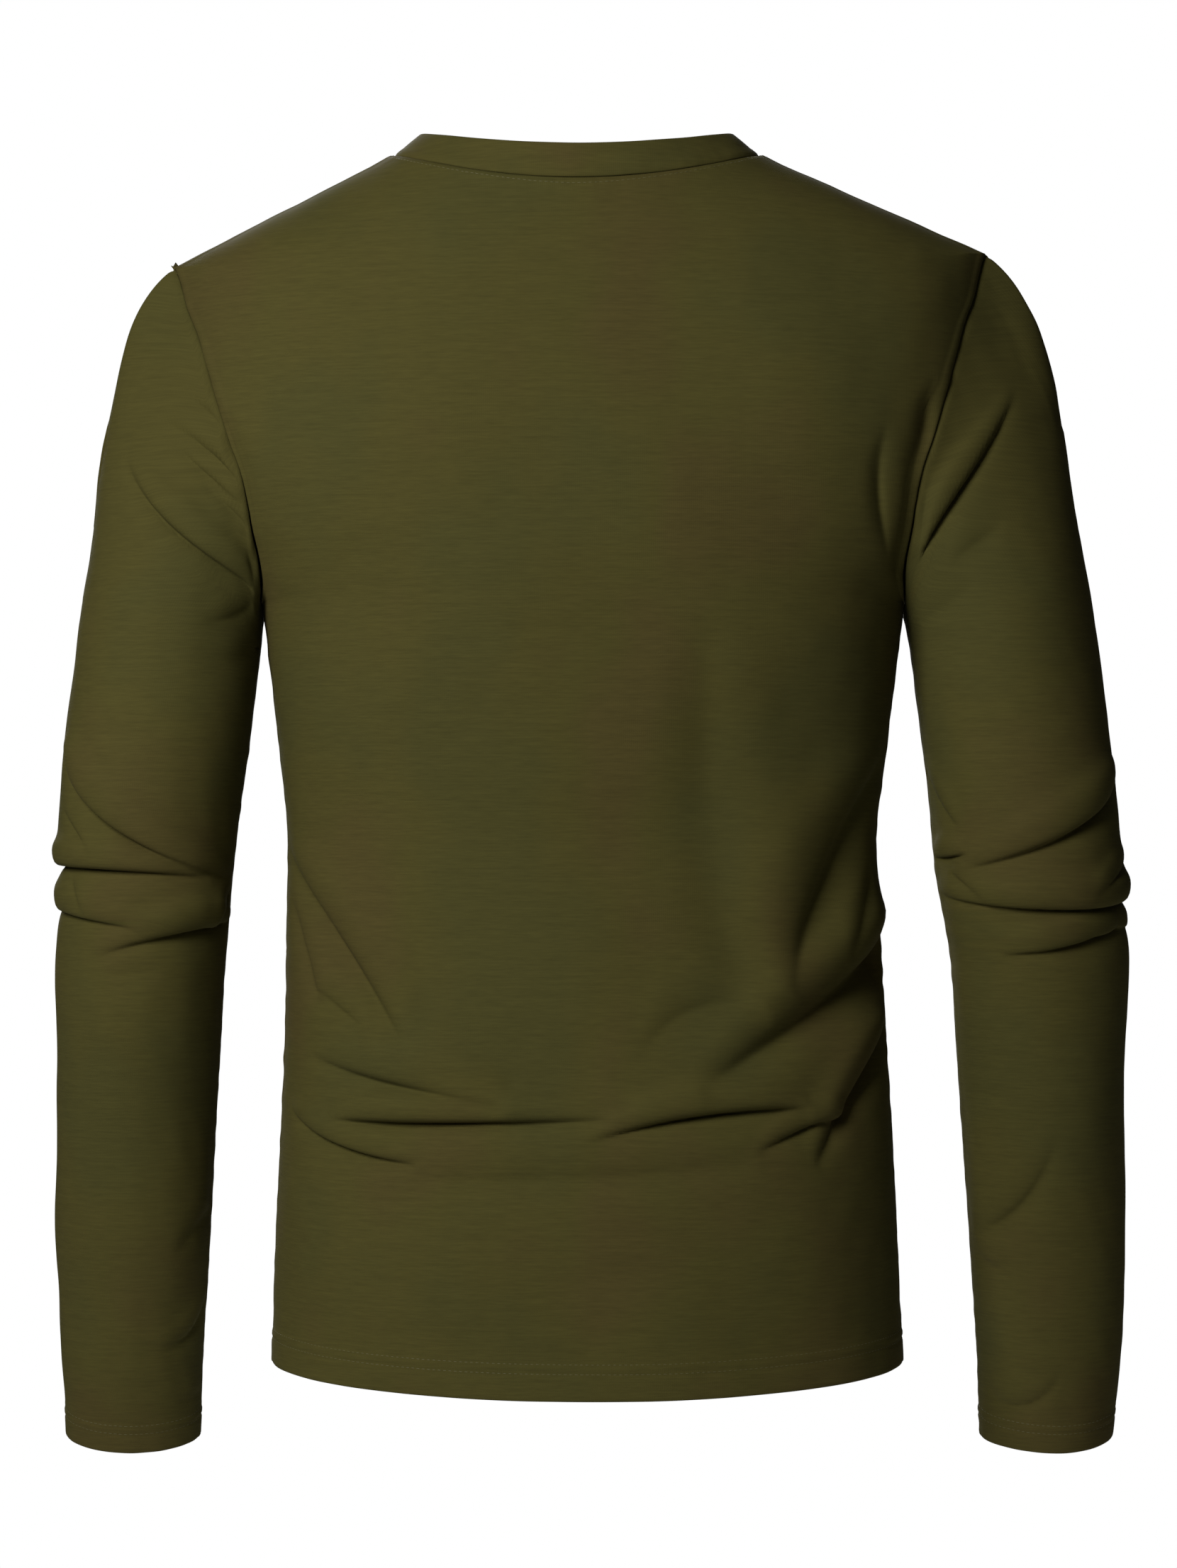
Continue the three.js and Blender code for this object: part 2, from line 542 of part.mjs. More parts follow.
function bodyPiece(name, facing, columns, stretches, folds) {
  const levels = bodyLevels(stretches);
  const shares = count(columns + 1, (i) => (2 * i) / columns - 1);
  const surface = (level, share) => {
    const inside = THREE.MathUtils.clamp(level, 0, 3);
    return bodyPoint(facing, inside, THREE.MathUtils.clamp(share, -1, 1));
  };
  const smoothPoints = levels.map((level) => shares.map((share) => surface(level, share)));
  const near = { u: 1e-3, v: 1e-3 };
  const outward = (j, i) => surfaceNormal(surface, levels[j], shares[i], near, -facing);
  const points = smoothPoints.map((row, j) => {
    const distances = rowDistances(row);
    return row.map((point, i) => {
      const toSeam = Math.abs(distances[0]) - Math.abs(distances[i]);
      const toNeck = (3 - levels[j]) * shoulder.reach / 2;
      const fade = ease(Math.min(toSeam, toNeck), 0, foldFade);
      const shift = fade * foldShift(folds, distances[i], point.z, 1);
      return point.clone().addScaledVector(outward(j, i), shift);
    });
  });
  const piece = { name, points, facing: -facing, closed: false, seamRow: levels.length - 1 };
  piece.normals = points.map((row, j) =>
    row.map((_, i) => {
      const atSeam = i === 0 || i === columns || j === levels.length - 1;
      return atSeam ? outward(j, i) : gridNormal(piece, j, i);
    }),
  );
  piece.thickness = levels.map((_, j) => (j < 2 ? cloth.turnedUp : cloth.wall));
  piece.material = new THREE.MeshStandardMaterial(jersey);
  return piece;
}

function sleevePiece(side) {
  const columns = 2 * detail.armholeRows;
  const steps = sleeveSteps();
  const turns = count(columns, (i) => (360 * i) / columns);
  const name = sideName(side);
  const folds = sleeveFolds[name];
  const scale = rad(1) * armGirth;
  const facing = -side;
  const surface = (down, turn) => sleevePoint(side, THREE.MathUtils.clamp(down, 0, 2), turn);
  const near = { u: 0.01, v: 0.5 };
  const outward = (down, turn) => surfaceNormal(surface, down, turn, near, facing);
  const points = steps.map((down) =>
    turns.map((turn) => {
      const point = surface(down, turn);
      const fade = ease(point.distanceTo(surface(0, turn)), 0, foldFade);
      let shift = 0;
      for (const lap of [-360, 0, 360]) shift += foldShift(folds, turn + lap, point.z, scale);
      return point.clone().addScaledVector(outward(down, turn), fade * shift);
    }),
  );
  const piece = { name: `sleeve_${name}`, points, facing, closed: true, seamRow: 0 };
  piece.normals = points.map((row, j) =>
    row.map((_, i) => (j === 0 ? outward(0, turns[i]) : gridNormal(piece, j, i))),
  );
  piece.thickness = steps.map((_, j) => (j >= steps.length - 2 ? cloth.turnedUp : cloth.wall));
  piece.material = new THREE.MeshStandardMaterial(jersey);
  return piece;
}

// The neckband stands on the neck seam and leans in, most at the sides. Its top edge is a fold.
function neckbandPiece() {
  const ring = [
    ...count(detail.backColumns, (i) => ({ facing: 1, across: 1 - (2 * i) / detail.backColumns })),
    ...count(detail.frontColumns, (i) => ({ facing: -1, across: (2 * i) / detail.frontColumns - 1 })),
  ];
  const foot = ring.map(({ facing, across }) => bodyPoint(facing, 3, across));
  const leans = ring.map(({ facing, across }) => {
    const middle = facing > 0 ? band.leanBack : band.leanFront;
    return rad(mix(middle, band.leanSide, ease(Math.abs(across), 0, 1)));
  });
  const near = (i) => [foot[(i + foot.length - 1) % foot.length], foot[(i + 1) % foot.length]];
  const normals = foot.map((_, i) => {
    const [previous, next] = near(i);
    const edge = next.clone().sub(previous);
    const out = vec(edge.y, -edge.x, 0).normalize();
    const up = vec(0, 0, Math.cos(leans[i])).addScaledVector(out, -Math.sin(leans[i]));
    return edge.normalize().cross(up).normalize();
  });
  const rises = foot.map((_, i) => {
    const [previous, next] = near(i);
    const edge = next.clone().sub(previous).normalize();
    return normals[i].clone().cross(edge).normalize();
  });
  const steps = [
    { up: 0, drop: 0, wall: cloth.band },
    { up: band.height / 3, drop: 0, wall: cloth.band },
    { up: (2 * band.height) / 3, drop: 0, wall: cloth.band },
    { up: band.height - band.fold, drop: 0, wall: cloth.band },
    { up: band.height, drop: band.fold / 2, wall: cloth.band - band.fold },
  ];
  const points = steps.map(({ up, drop }) =>
    foot.map((place, i) =>
      place.clone().addScaledVector(rises[i], up).addScaledVector(normals[i], -drop),
    ),
  );
  return {
    name: "neckband",
    points,
    normals: steps.map(() => normals.map((normal) => normal.clone())),
    facing: 1,
    closed: true,
    seamRow: 0,
    thickness: steps.map((step) => step.wall),
    material: new THREE.MeshStandardMaterial(bandJersey),
  };
}

const backStretches = [
  { to: -592, rows: 3 },
  { to: -452, rows: 17 },
  { to: -armhole.low, rows: 10 },
];
const frontStretches = [
  { to: -560, rows: 4 },
  { to: -450, rows: 8 },
  { to: -armhole.low, rows: 8 },
];
const pieces = [
  bodyPiece("back", 1, detail.backColumns, backStretches, backFolds),
  bodyPiece("front", -1, detail.frontColumns, frontStretches, frontFolds),
  sleevePiece(1),
  sleevePiece(-1),
  neckbandPiece(),
];
settleSeams(pieces);

const shirt = new THREE.Group();
for (const piece of pieces) shirt.add(wallMesh(piece));

export default shirt;
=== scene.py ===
import math

import bmesh
import bpy
import numpy as np
from mathutils import Matrix, Vector


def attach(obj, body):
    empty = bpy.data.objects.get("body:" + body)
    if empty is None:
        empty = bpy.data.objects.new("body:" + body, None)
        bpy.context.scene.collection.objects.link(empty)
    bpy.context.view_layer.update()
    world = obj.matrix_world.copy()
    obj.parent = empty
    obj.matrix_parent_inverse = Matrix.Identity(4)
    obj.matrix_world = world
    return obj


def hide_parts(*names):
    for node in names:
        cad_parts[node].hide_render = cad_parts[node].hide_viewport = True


# A man's long-sleeve T-shirt in olive cotton jersey, filled out as if worn, seen from behind.
# The cloth is worked out in millimetres on the frame's own sections and stored in metres.
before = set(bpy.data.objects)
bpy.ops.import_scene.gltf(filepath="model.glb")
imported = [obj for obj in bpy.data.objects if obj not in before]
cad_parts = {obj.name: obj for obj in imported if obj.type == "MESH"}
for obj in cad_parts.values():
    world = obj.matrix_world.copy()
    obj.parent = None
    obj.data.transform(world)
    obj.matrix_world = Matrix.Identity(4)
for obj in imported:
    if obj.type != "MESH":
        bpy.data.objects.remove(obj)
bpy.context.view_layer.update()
mm = 0.001
print("frame loaded:", ", ".join(sorted(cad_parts)))

cloth = {
    "thickness": 0.8,  # one layer of jersey
    "foldFade": 7.0,  # creases die out over this distance from a seam
    "seed": 11,
}

# How an edge turns in at its seam: distance from the seam line and how deep the cloth lies there.
plainEdge = [(2.4, 0.0), (1.3, 0.03), (0.7, 0.15), (0.35, 0.4), (0.15, 0.9), (0.15, 3.5)]
lowEdge = [(3.4, 0.1), (2.2, 0.35), (1.2, 0.75), (0.5, 1.05), (0.2, 1.4), (0.2, 4.0)]  # under its neighbour
neckEdge = [(2.2, 0.0), (1.2, 0.04), (0.6, 0.16), (0.3, 0.4), (0.1, 0.8), (0.1, 3.0)]
overhang = 0.6  # how far a sharp crease's roll comes over its trough, as a share of its width
edgeReach = 4.6  # the first plain point next to a turned edge

# How a hem or cuff is turned up inside: height over the fold and how deep it lies.
turnUp = [(24.0, 1.9), (18.0, 1.9), (12.0, 1.9), (6.0, 1.9), (2.2, 1.9), (0.9, 1.8), (0.3, 1.5),
          (0.0, 0.95), (0.3, 0.4), (0.9, 0.08), (2.0, 0.0)]


def table(columns, rows):
    return dict(zip(columns.split(), np.array(rows, float).T))


# ---- sections of the body and sleeves, the same as the frame's ----
bodySections = table("z half back front backSag frontSag lean", [
    (-677, 177, 108, 103, 9, -3, -1),
    (-625, 175.5, 108, 103, 6, -2, -0.5),
    (-560, 172.5, 105, 102, 2, 0, -0.5),
    (-490, 169, 97, 102, 0, 0, 0),
    (-430, 167, 91, 102, 0, 0, 1.2),
    (-385, 165.5, 90, 103, 0, 0, 2),
    (-335, 170.5, 94, 106, 0, 0, 1.5),
    (-290, 175.7, 100, 112, 0, 0, 1.3),
    (-250, 180.5, 104, 116, 0, 0, 1.3),
])
backYoke = table("level y z turn climb flat round", [
    (1, 104, -250, 90, 0, 0.64, 0.62),
    (1.25, 105.5, -223, 90, 0, 0.645, 0.63),
    (1.5, 105, -172, 84, 0, 0.67, 0.65),
    (1.75, 99.5, -118, 70, 0, 0.66, 0.62),
    (2, 92, -82, 58, 0, 0.62, 0.58),
    (2.5, 82, -47, 68, -3, 0.58, 0.58),
    (3, 72, -19, 86, 2, 0.58, 0.6),
])
frontYoke = table("level y z turn climb flat round", [
    (1, 116, -250, 90, 0, 0.64, 0.62),
    (1.25, 117, -226, 90, 0, 0.645, 0.63),
    (1.5, 116, -186, 84, 2, 0.66, 0.64),
    (1.75, 111.5, -149, 70, 5, 0.64, 0.62),
    (2, 105, -125, 56, 12, 0.6, 0.6),
    (2.5, 96.5, -107, 68, 22, 0.58, 0.62),
    (3, 88, -92, 86, 38, 0.62, 0.74),
])
armholeOutline = table("up out", [(0, 0), (0.12, 0.22), (0.25, 0.5), (0.5, 0.86), (0.75, 0.98), (1, 1)])
armholeNotch = table("level share", [
    (1, 0), (1.15, 0.53), (1.25, 0.74), (1.35, 0.92), (1.43, 0.985), (1.5, 0.93),
    (1.6, 0.77), (1.7, 0.53), (1.78, 0.27), (1.87, 0.12), (1.93, 0.05), (2, 0),
])
sleeveSections = table("z out behind width depth spread swell", [
    (-270, 234.3, 1, 51.3, 58, 0.2, 0.4),
    (-325, 241.5, 5, 52, 56, 0.4, 0.3),
    (-360, 245.6, 7.5, 51.8, 54.5, 0.8, 1.2),
    (-395, 248.4, 8, 51, 53, 1.1, 1.8),
    (-449, 252.8, 2, 48.3, 50, 2.3, 0.8),
    (-509, 256.1, -9, 46.9, 47, 2.3, 0.7),
    (-569, 258.8, -22, 44.9, 43, 2.5, 0.5),
    (-629, 261.7, -35, 43.1, 39, 2.8, 0.3),
    (-685, 263.6, -48, 40.7, 34.5, 2.8, 0.3),
    (-727, 263.8, -58, 38.4, 31, 2.4, 0),
])
# The arm's own middle, to tell where on the sleeve's top a crease lies.
armMiddle = table("z out width", [(-150, 232, 44), (-200, 233, 46), (-270, 234.3, 51.3)])
shape = {
    "shoulderReach": 229.5, "shoulderBehind": -2, "dropLeft": 61, "dropRight": 53,
    "neckHalf": 103, "neckBehind": 8, "neckHigh": 1, "neckLean": 5,
    "backNotch": 0.35, "frontNotch": 0.38, "axisSpan": 24, "armGirth": 50,
}

# ---- creases ----
# Each row is one trough. On the body a runs along the cloth from the centre line towards the wearer's
# left and h is the height; on a sleeve a is in degrees, 0 outside, 90 behind, 180 under the arm. The
# trough bows to the left of its run. width is its half width, ridge the roll beside it as a share of
# its depth, crisp 0 for a soft hollow and 1 for a sharp crease, and peak where along it is deepest.
creaseColumns = "a0 h0 a1 h1 bow width depth ridge crisp peak"
backCreases = table(creaseColumns, [
    (-26, -535, 150, -537, 1, 9, 9, 0.5, 1, 0.62),
    (-126, -530, 0, -547, 7, 8, 8, 0.5, 1, 0.45),
    (-156, -532, -94, -553, 3, 7, 5, 0.4, 0.9, 0.45),
    (-214, -486, -130, -562, 9, 11, 9, 0.4, 0.6, 0.4),
    (-236, -438, -62, -521, 9, 17, 13, 0.4, 0.35, 0.36),
    (-196, -338, -116, -466, 11, 20, 9, 0.4, 0.4, 0.55),
    (-184, -400, -156, -446, 0, 8, 3, 0.3, 0.4, 0.5),
    (-88, -474, -68, -262, -8, 22, 5, 0.35, 0.1, 0.42),
    (102, -494, 196, -388, 6, 13, 8, 0.4, 0.5, 0.4),
    (158, -476, 190, -414, 3, 8, 3, 0.3, 0.5, 0.5),
    (126, -486, 162, -464, 0, 8, 3, 0.3, 0.5, 0.4),
    (44, -526, 166, -503, -2, 11, 6.5, 0.45, 0.7, 0.36),
    (94, -559, 190, -534, -4, 8, 6, 0.4, 0.9, 0.4),
    (-94, -558, 114, -567, -4, 14, 3.6, 0.4, 0.3, 0.5),
    (-100, -476, -30, -499, 14, 12, 3, 0.3, 0.4, 0.4),
    (-50, -622, 26, -617, 0, 10, 1, 0.3, 0.1, 0.5),
    (-189, -238, -200, -134, 9, 13, 9, -0.3, 0.6, 0.55),
    (-179, -224, -169, -160, -4, 8, 4, 0.2, 0.6, 0.5),
    (200, -232, 224, -136, 9, 12, 5, 0.3, 0.3, 0.5),
])
frontCreases = table(creaseColumns, [
    (-178, -480, -52, -512, 6, 12, 4.5, 0.5, 0.8, 0.4),
    (-120, -540, 20, -533, -4, 11, 3.5, 0.5, 0.9, 0.5),
    (44, -516, 186, -470, -7, 12, 5, 0.5, 0.8, 0.6),
    (92, -470, 190, -396, 5, 13, 3.8, 0.4, 0.5, 0.6),
    (-188, -400, -104, -462, 6, 12, 3.4, 0.4, 0.5, 0.4),
    (58, -250, 186, -190, -8, 14, 3.5, 0.3, 0.2, 0.6),
    (-186, -186, -66, -252, 8, 14, 3.5, 0.3, 0.2, 0.4),
    (-46, -560, 88, -556, -5, 10, 2, 0.4, 0.6, 0.5),
    (60, -396, 120, -440, 6, 12, 1.6, 0.3, 0.2, 0.5),
    (-196, -540, -120, -566, 6, 8, 3, 0.4, 0.9, 0.4),
])
sleeveCreases = {
    "left": table(creaseColumns, [
        (92, -133, 142, -160, 3, 6, 2.2, 0.4, 0.8, 0.6),
        (74, -144, 166, -192, 2, 6.5, 3.4, 0.5, 1, 0.6),
        (95, -163, 172, -201, -4, 6.5, 3, 0.5, 1, 0.5),
        (117, -186, 176, -211, -2, 6, 2.4, 0.4, 0.9, 0.5),
        (56, -171, 178, -245, -12, 9, 5.5, 0.5, 1, 0.5),
        (107, -266, 168, -252, -1, 8, 1.8, 0.4, 0.5, 0.7),
        (118, -286, 170, -276, -1, 7, 1, 0.3, 0.4, 0.7),
        (14, -332, 168, -406, -14, 10, 6.5, 0.55, 1, 0.35),
        (-30, -398, 144, -405, 3, 8, 7, 0.5, 1, 0.45),
        (24, -366, 60, -390, 0, 5, 2.4, 0.4, 1, 0.5),
        (36, -404, 54, -422, 0, 4, 1.8, 0.4, 1, 0.5),
        (-24, -418, 100, -434, 1, 8, 4.5, 0.5, 1, 0.4),
        (56, -452, 182, -430, 6, 9, 6, 0.6, 1, 0.65),
        (142, -433, 178, -410, 0, 6, 2.4, 0.4, 0.8, 0.6),
        (70, -459, 110, -456, 0, 7, 1, 0.3, 0.3, 0.5),
        (124, -621, 176, -594, 5, 8, 1.6, 0.3, 0.4, 0.6),
        (90, -668, 178, -642, -15, 7, 2.6, 0.4, 0.8, 0.7),
        (128, -705, 176, -700, 0, 4, 1, 0.4, 0.8, 0.6),
        (190, -380, 322, -362, -6, 10, 5.5, 0.5, 0.9, 0.4),
        (214, -412, 352, -404, 6, 9, 6, 0.5, 0.9, 0.6),
        (196, -436, 300, -452, 4, 10, 4, 0.5, 0.7, 0.5),
        (196, -238, 290, -190, -8, 10, 4, 0.4, 0.7, 0.4),
        (204, -206, 270, -168, -5, 7, 2.4, 0.4, 0.8, 0.4),
    ]),
    "right": table(creaseColumns, [
        (78, -134, 179, -228, -7, 8, 6, 0.6, 1, 0.6),
        (93, -209, 130, -229, 0, 8, 1.6, 0.4, 0.3, 0.5),
        (112, -240, 160, -262, -3, 10, 1.2, 0.3, 0.2, 0.5),
        (10, -345, 142, -401, -8, 10, 6.5, 0.5, 0.9, 0.35),
        (134, -391, 176, -394, 0, 6, 4, 0.4, 1, 0.5),
        (124, -415, 154, -401, 0, 6, 2.4, 0.4, 0.8, 0.5),
        (-24, -411, 172, -414, -9, 9, 7, 0.55, 1, 0.4),
        (2, -393, 56, -411, 0, 6, 3, 0.4, 1, 0.4),
        (26, -429, 120, -448, -3, 9, 5.5, 0.6, 1, 0.4),
        (-14, -432, 58, -433, 0, 7, 2.4, 0.4, 0.8, 0.5),
        (140, -377, 182, -338, 0, 6, 2.4, 0.5, 0.9, 0.5),
        (86, -550, 158, -607, -12, 10, 3, 0.4, 0.5, 0.6),
        (118, -631, 164, -619, 0, 8, 1.6, 0.4, 0.6, 0.6),
        (86, -689, 154, -697, -13, 7, 2, 0.4, 0.7, 0.5),
        (200, -372, 338, -356, -8, 10, 5, 0.5, 0.9, 0.5),
        (190, -404, 318, -414, 6, 9, 6, 0.5, 0.9, 0.4),
        (226, -446, 350, -436, -4, 10, 4.5, 0.5, 0.8, 0.5),
        (192, -226, 280, -176, -8, 10, 4, 0.4, 0.7, 0.4),
        (210, -198, 262, -160, -4, 7, 2.2, 0.4, 0.8, 0.5),
    ]),
}


bodyCreases = {1: backCreases, -1: frontCreases}


# ---- small maths ----
def mix(a, b, share):
    return a + (b - a) * share


def ease(value, low, high):
    t = np.clip((value - low) / (high - low), 0, 1)
    return t * t * (3 - 2 * t)


def vec(x, y, z):
    return np.stack(np.broadcast_arrays(x, y, z), axis=-1).astype(float)


def length(v):
    return np.linalg.norm(v, axis=-1)


def dot(a, b):
    return (a * b).sum(axis=-1)


def unit(v):
    return v / np.maximum(length(v), 1e-9)[..., None]


# One column of a table at places along another, as a smooth curve that doesn't overshoot its rows.
def along(rows, by, key, place):
    x, y = rows[by], rows[key]
    if x[0] > x[-1]:
        x, y = x[::-1], y[::-1]
    slope = np.diff(y) / np.diff(x)
    product, total = slope[:-1] * slope[1:], slope[:-1] + slope[1:]
    between = np.where(product > 0, 2 * product / np.where(product > 0, total, 1), 0)
    tangent = np.concatenate(([slope[0]], between, [slope[-1]]))
    place = np.clip(place, x[0], x[-1])
    i = np.clip(np.searchsorted(x, place) - 1, 0, len(x) - 2)
    h = x[i + 1] - x[i]
    t = (place - x[i]) / h
    rest = 1 - t
    start = y[i] * (1 + 2 * t) * rest ** 2 + tangent[i] * h * t * rest ** 2
    return start + y[i + 1] * t ** 2 * (3 - 2 * t) - tangent[i + 1] * h * t ** 2 * rest


def bezier(a, b, c, d, share):
    t = np.asarray(share)[..., None]
    s = 1 - t
    return a * s ** 3 + b * 3 * s * s * t + c * 3 * s * t * t + d * t ** 3


# ---- surfaces ----
# level is 0 at the hem, 1 under the arm, 2 at the shoulder points and 3 at the neck. across runs from
# -1 at the wearer's right seam to 1 at the left one.
def bodySurface(facing, level, across):
    level, across = np.broadcast_arrays(np.clip(level, 0, 3), np.clip(across, -1, 1))
    side = np.where(across < 0, -1.0, 1.0)
    drop = np.where(side > 0, shape["dropLeft"], shape["dropRight"])
    lowZ, armZ, armHalf = bodySections["z"][0], bodySections["z"][-1], bodySections["half"][-1]
    z = mix(lowZ, armZ, np.minimum(level, 1))
    low = {key: along(bodySections, "z", key, z) for key in bodySections}
    yoke = backYoke if facing > 0 else frontYoke
    high = {key: along(yoke, "level", key, np.maximum(level, 1)) for key in yoke}
    rise = np.pi * (level - 1)
    up = (1 - np.cos(rise)) / 2
    out = along(armholeOutline, "up", "out", up)
    reach, behind = shape["shoulderReach"], shape["shoulderBehind"]
    atSide = vec(side * low["half"], 0, z)
    atArmhole = vec(side * mix(armHalf, reach, out), behind * up, mix(armZ, -drop, up))
    outer = vec(side * reach, behind, -drop)
    inner = vec(side * shape["neckHalf"], shape["neckBehind"], shape["neckHigh"])
    atShoulder = mix(outer, inner, (1 - np.sin(rise / 2))[..., None])
    below, cutOut = level < 1, (level > 1) & (level < 2)
    end = np.where(below[..., None], atSide, np.where((level < 2)[..., None], atArmhole, atShoulder))
    depth, sag = (low["back"], low["backSag"]) if facing > 0 else (low["front"], low["frontSag"])
    middle = vec(0, facing * np.where(below, depth, high["y"]), np.where(below, z - sag, high["z"]))
    turn, climb = np.radians(high["turn"]), np.radians(high["climb"])
    heading = vec(side * np.cos(turn) * np.cos(climb), -facing * np.sin(turn) * np.cos(climb), np.sin(climb))
    fromMiddle = middle + vec(end[..., 0] * high["flat"], 0, 0)
    toEnd = end - heading * (np.abs(middle[..., 1] - end[..., 1]) * high["round"])[..., None]
    notch = shape["backNotch"] if facing > 0 else shape["frontNotch"]
    cut = np.where(cutOut, notch * along(armholeNotch, "level", "share", level), 0)
    share = np.abs(across) * (1 - cut)
    lean = np.where(below, low["lean"], mix(bodySections["lean"][-1], shape["neckLean"], (level - 1) / 2))
    return bezier(middle, fromMiddle, toEnd, end, share) + vec(lean, 0, 0)


def sleeveMiddle(side, z):
    out, spread, behind = (along(sleeveSections, "z", key, z) for key in ("out", "spread", "behind"))
    return vec(side * out - spread, behind, z)


def armWay(side, z):
    half = shape["axisSpan"] / 2
    top, low = sleeveSections["z"][0], sleeveSections["z"][-1]
    return unit(sleeveMiddle(side, np.maximum(z - half, low)) - sleeveMiddle(side, np.minimum(z + half, top)))


def sleeveRing(side, z, turn):
    width, depth, swell = (along(sleeveSections, "z", key, z) for key in ("width", "depth", "swell"))
    way = armWay(side, z)
    behind = unit(vec(0, 1, 0) - way * way[..., 1:2])
    out = np.cross(way, behind)
    out = out * np.sign(out[..., :1] * side)
    angle = np.radians(turn)
    across = out * ((width - side * swell) * np.cos(angle))[..., None]
    return sleeveMiddle(side, z) + across + behind * (depth * np.sin(angle))[..., None]


def armholePoint(side, turn):
    around = np.mod(turn, 360)
    level = 1 + np.abs(180 - around) / 180
    back, front = (bodySurface(facing, level, side + 0 * around) for facing in (1, -1))
    return np.where((around <= 180)[..., None], back, front)


# down is 0 at the armhole, 1 at the first ring under it and 2 at the cuff's edge.
def sleeveSurface(side, down, turn):
    down = np.clip(down, 0, 2)
    top, low = sleeveSections["z"][0], sleeveSections["z"][-1]
    start = armholePoint(side, turn)
    end = sleeveRing(side, top + 0 * turn, turn)
    reach = length(start - end)[..., None]
    angle = np.radians(turn)
    high = (1 + np.cos(angle)) / 2
    outward = np.sqrt(high)
    leave = unit(vec(side * mix(0.12, 0.8, outward), -0.3 * np.sin(angle), -mix(1, 0.6, outward)))
    first = start + leave * reach * mix(0.3, 0.22, high)[..., None]
    second = end - armWay(side, top + 0 * turn) * reach * mix(0.3, 0.52, high)[..., None]
    cap = bezier(start, first, second, end, np.minimum(down, 1))
    arm = sleeveRing(side, mix(top, low, np.maximum(down, 1) - 1), turn)
    return np.where((down > 1)[..., None], arm, cap)


# Which way is out of the cloth, sideways along it and up it. Sideways follows the surface's second value.
def clothWays(surface, u, v, nearU, nearV, facing):
    across = surface(u, v + nearV) - surface(u, v - nearV)
    up = surface(u + nearU, v) - surface(u - nearU, v)
    out = unit(np.cross(across, up)) * facing
    rise = unit(vec(0, 0, 1) - out * out[..., 2:])
    aside = np.cross(out, rise)
    return out, aside * np.sign(dot(aside, across))[..., None], rise


# ---- creases and unevenness ----
# How far the cloth at (a, h) moves out, sideways and up. scale turns a into millimetres. A sharp crease is
# a roll that hangs over its trough, so its flank also moves across the trough.
def creaseShift(creases, a, h, scale):
    out, aside, rise = (np.zeros(np.broadcast(a, h).shape) for _ in range(3))
    for row in zip(*(creases[key] for key in creaseColumns.split())):
        a0, h0, a1, h1, bow, width, depth, ridge, crisp, peak = row
        runA, runH = (a1 - a0) * scale, h1 - h0
        run = math.hypot(runA, runH)
        fromA, fromH = (a - a0) * scale, h - h0
        share = np.clip((fromA * runA + fromH * runH) / run ** 2, 0, 1)
        swell = np.maximum(np.sin(np.pi * share ** (math.log(0.5) / math.log(peak))), 0)
        bent = 4 * bow * share * (1 - share)
        off = ((fromH * runA - fromA * runH) / run - bent) / (width * (0.5 + 0.5 * swell))
        soft = ridge * np.exp(-((off - 1.7) ** 2) / 1.2) - np.exp(-off ** 2)
        under = np.where(off > 0, np.exp(-(np.abs(off) / 0.5) ** 1.6), np.exp(-np.abs(off) / 0.75))
        fold = 1.15 * ridge * np.exp(-((off - 1.3) / 0.9) ** 2) - under
        swell = swell ** 0.8
        out += depth * swell * mix(soft, fold, crisp)
        over = overhang * crisp * width * swell * np.exp(-((off - 0.7) / 0.55) ** 2)
        aside += over * runH / run
        rise -= over * runA / run
    return out, aside, rise


# A gentle unevenness, made of a few waves of about one size that run in every direction.
def unevenness(a, h, size, height, waves, seed):
    draw = np.random.default_rng(seed)
    total = np.zeros(np.broadcast(a, h).shape)
    for _ in range(waves):
        heading, phase = draw.uniform(0, math.tau, 2)
        step = math.tau / (size * draw.uniform(0.7, 1.5))
        total = total + np.sin((a * math.cos(heading) + h * math.sin(heading)) * step + phase)
    return total * height / math.sqrt(waves)


# A seam's own relief: the allowances pressed flat under one side, and small puckers along it.
def seamRelief(distance, place, seam, seed):
    welt = seam["welt"] * ease(distance, 1.0, 2.2) * (1 - ease(distance, seam["width"], seam["width"] + 2))
    ripple = unevenness(place, 0 * place, seam["pucker"], seam["ripple"], 7, seed)
    return welt + ripple * np.exp(-distance / seam["reach"]) * ease(distance, 0, 2)


# Two rows of stitches draw the cloth down over the edge of what is turned up behind it.
def hemRelief(rise, hem):
    step = hem["step"] * (1 - ease(rise, hem["rows"][0], hem["rows"][0] + 2.5))
    lines = sum(np.exp(-((rise - row) / 0.9) ** 2) for row in hem["rows"])
    return step - hem["draw"] * lines


# ---- meshes ----
# The cloth's own measure at every grid point, so that its knit runs level and upright all over.
def clothMeasure(points, middle):
    alongRow, alongColumn = np.gradient(points, axis=1), np.gradient(points, axis=0)
    out = unit(np.cross(alongRow, alongColumn))
    rise = unit(vec(0, 0, 1) - out * out[..., 2:])
    aside = np.cross(out, rise)
    aside = aside * np.sign(dot(aside, alongRow))[..., None]
    step = np.diff(points, axis=1)
    sides = [dot(step, (way[:, 1:] + way[:, :-1]) / 2) for way in (aside, rise)]
    start = np.zeros((len(points), 1))
    u, v = (np.concatenate((start, np.cumsum(part, axis=1)), axis=1) for part in sides)
    climb = dot(np.diff(points[:, middle], axis=0), rise[1:, middle])
    height = np.concatenate(([0], np.cumsum(climb)))[:, None]
    return u - u[:, middle:middle + 1], v - v[:, middle:middle + 1] + height


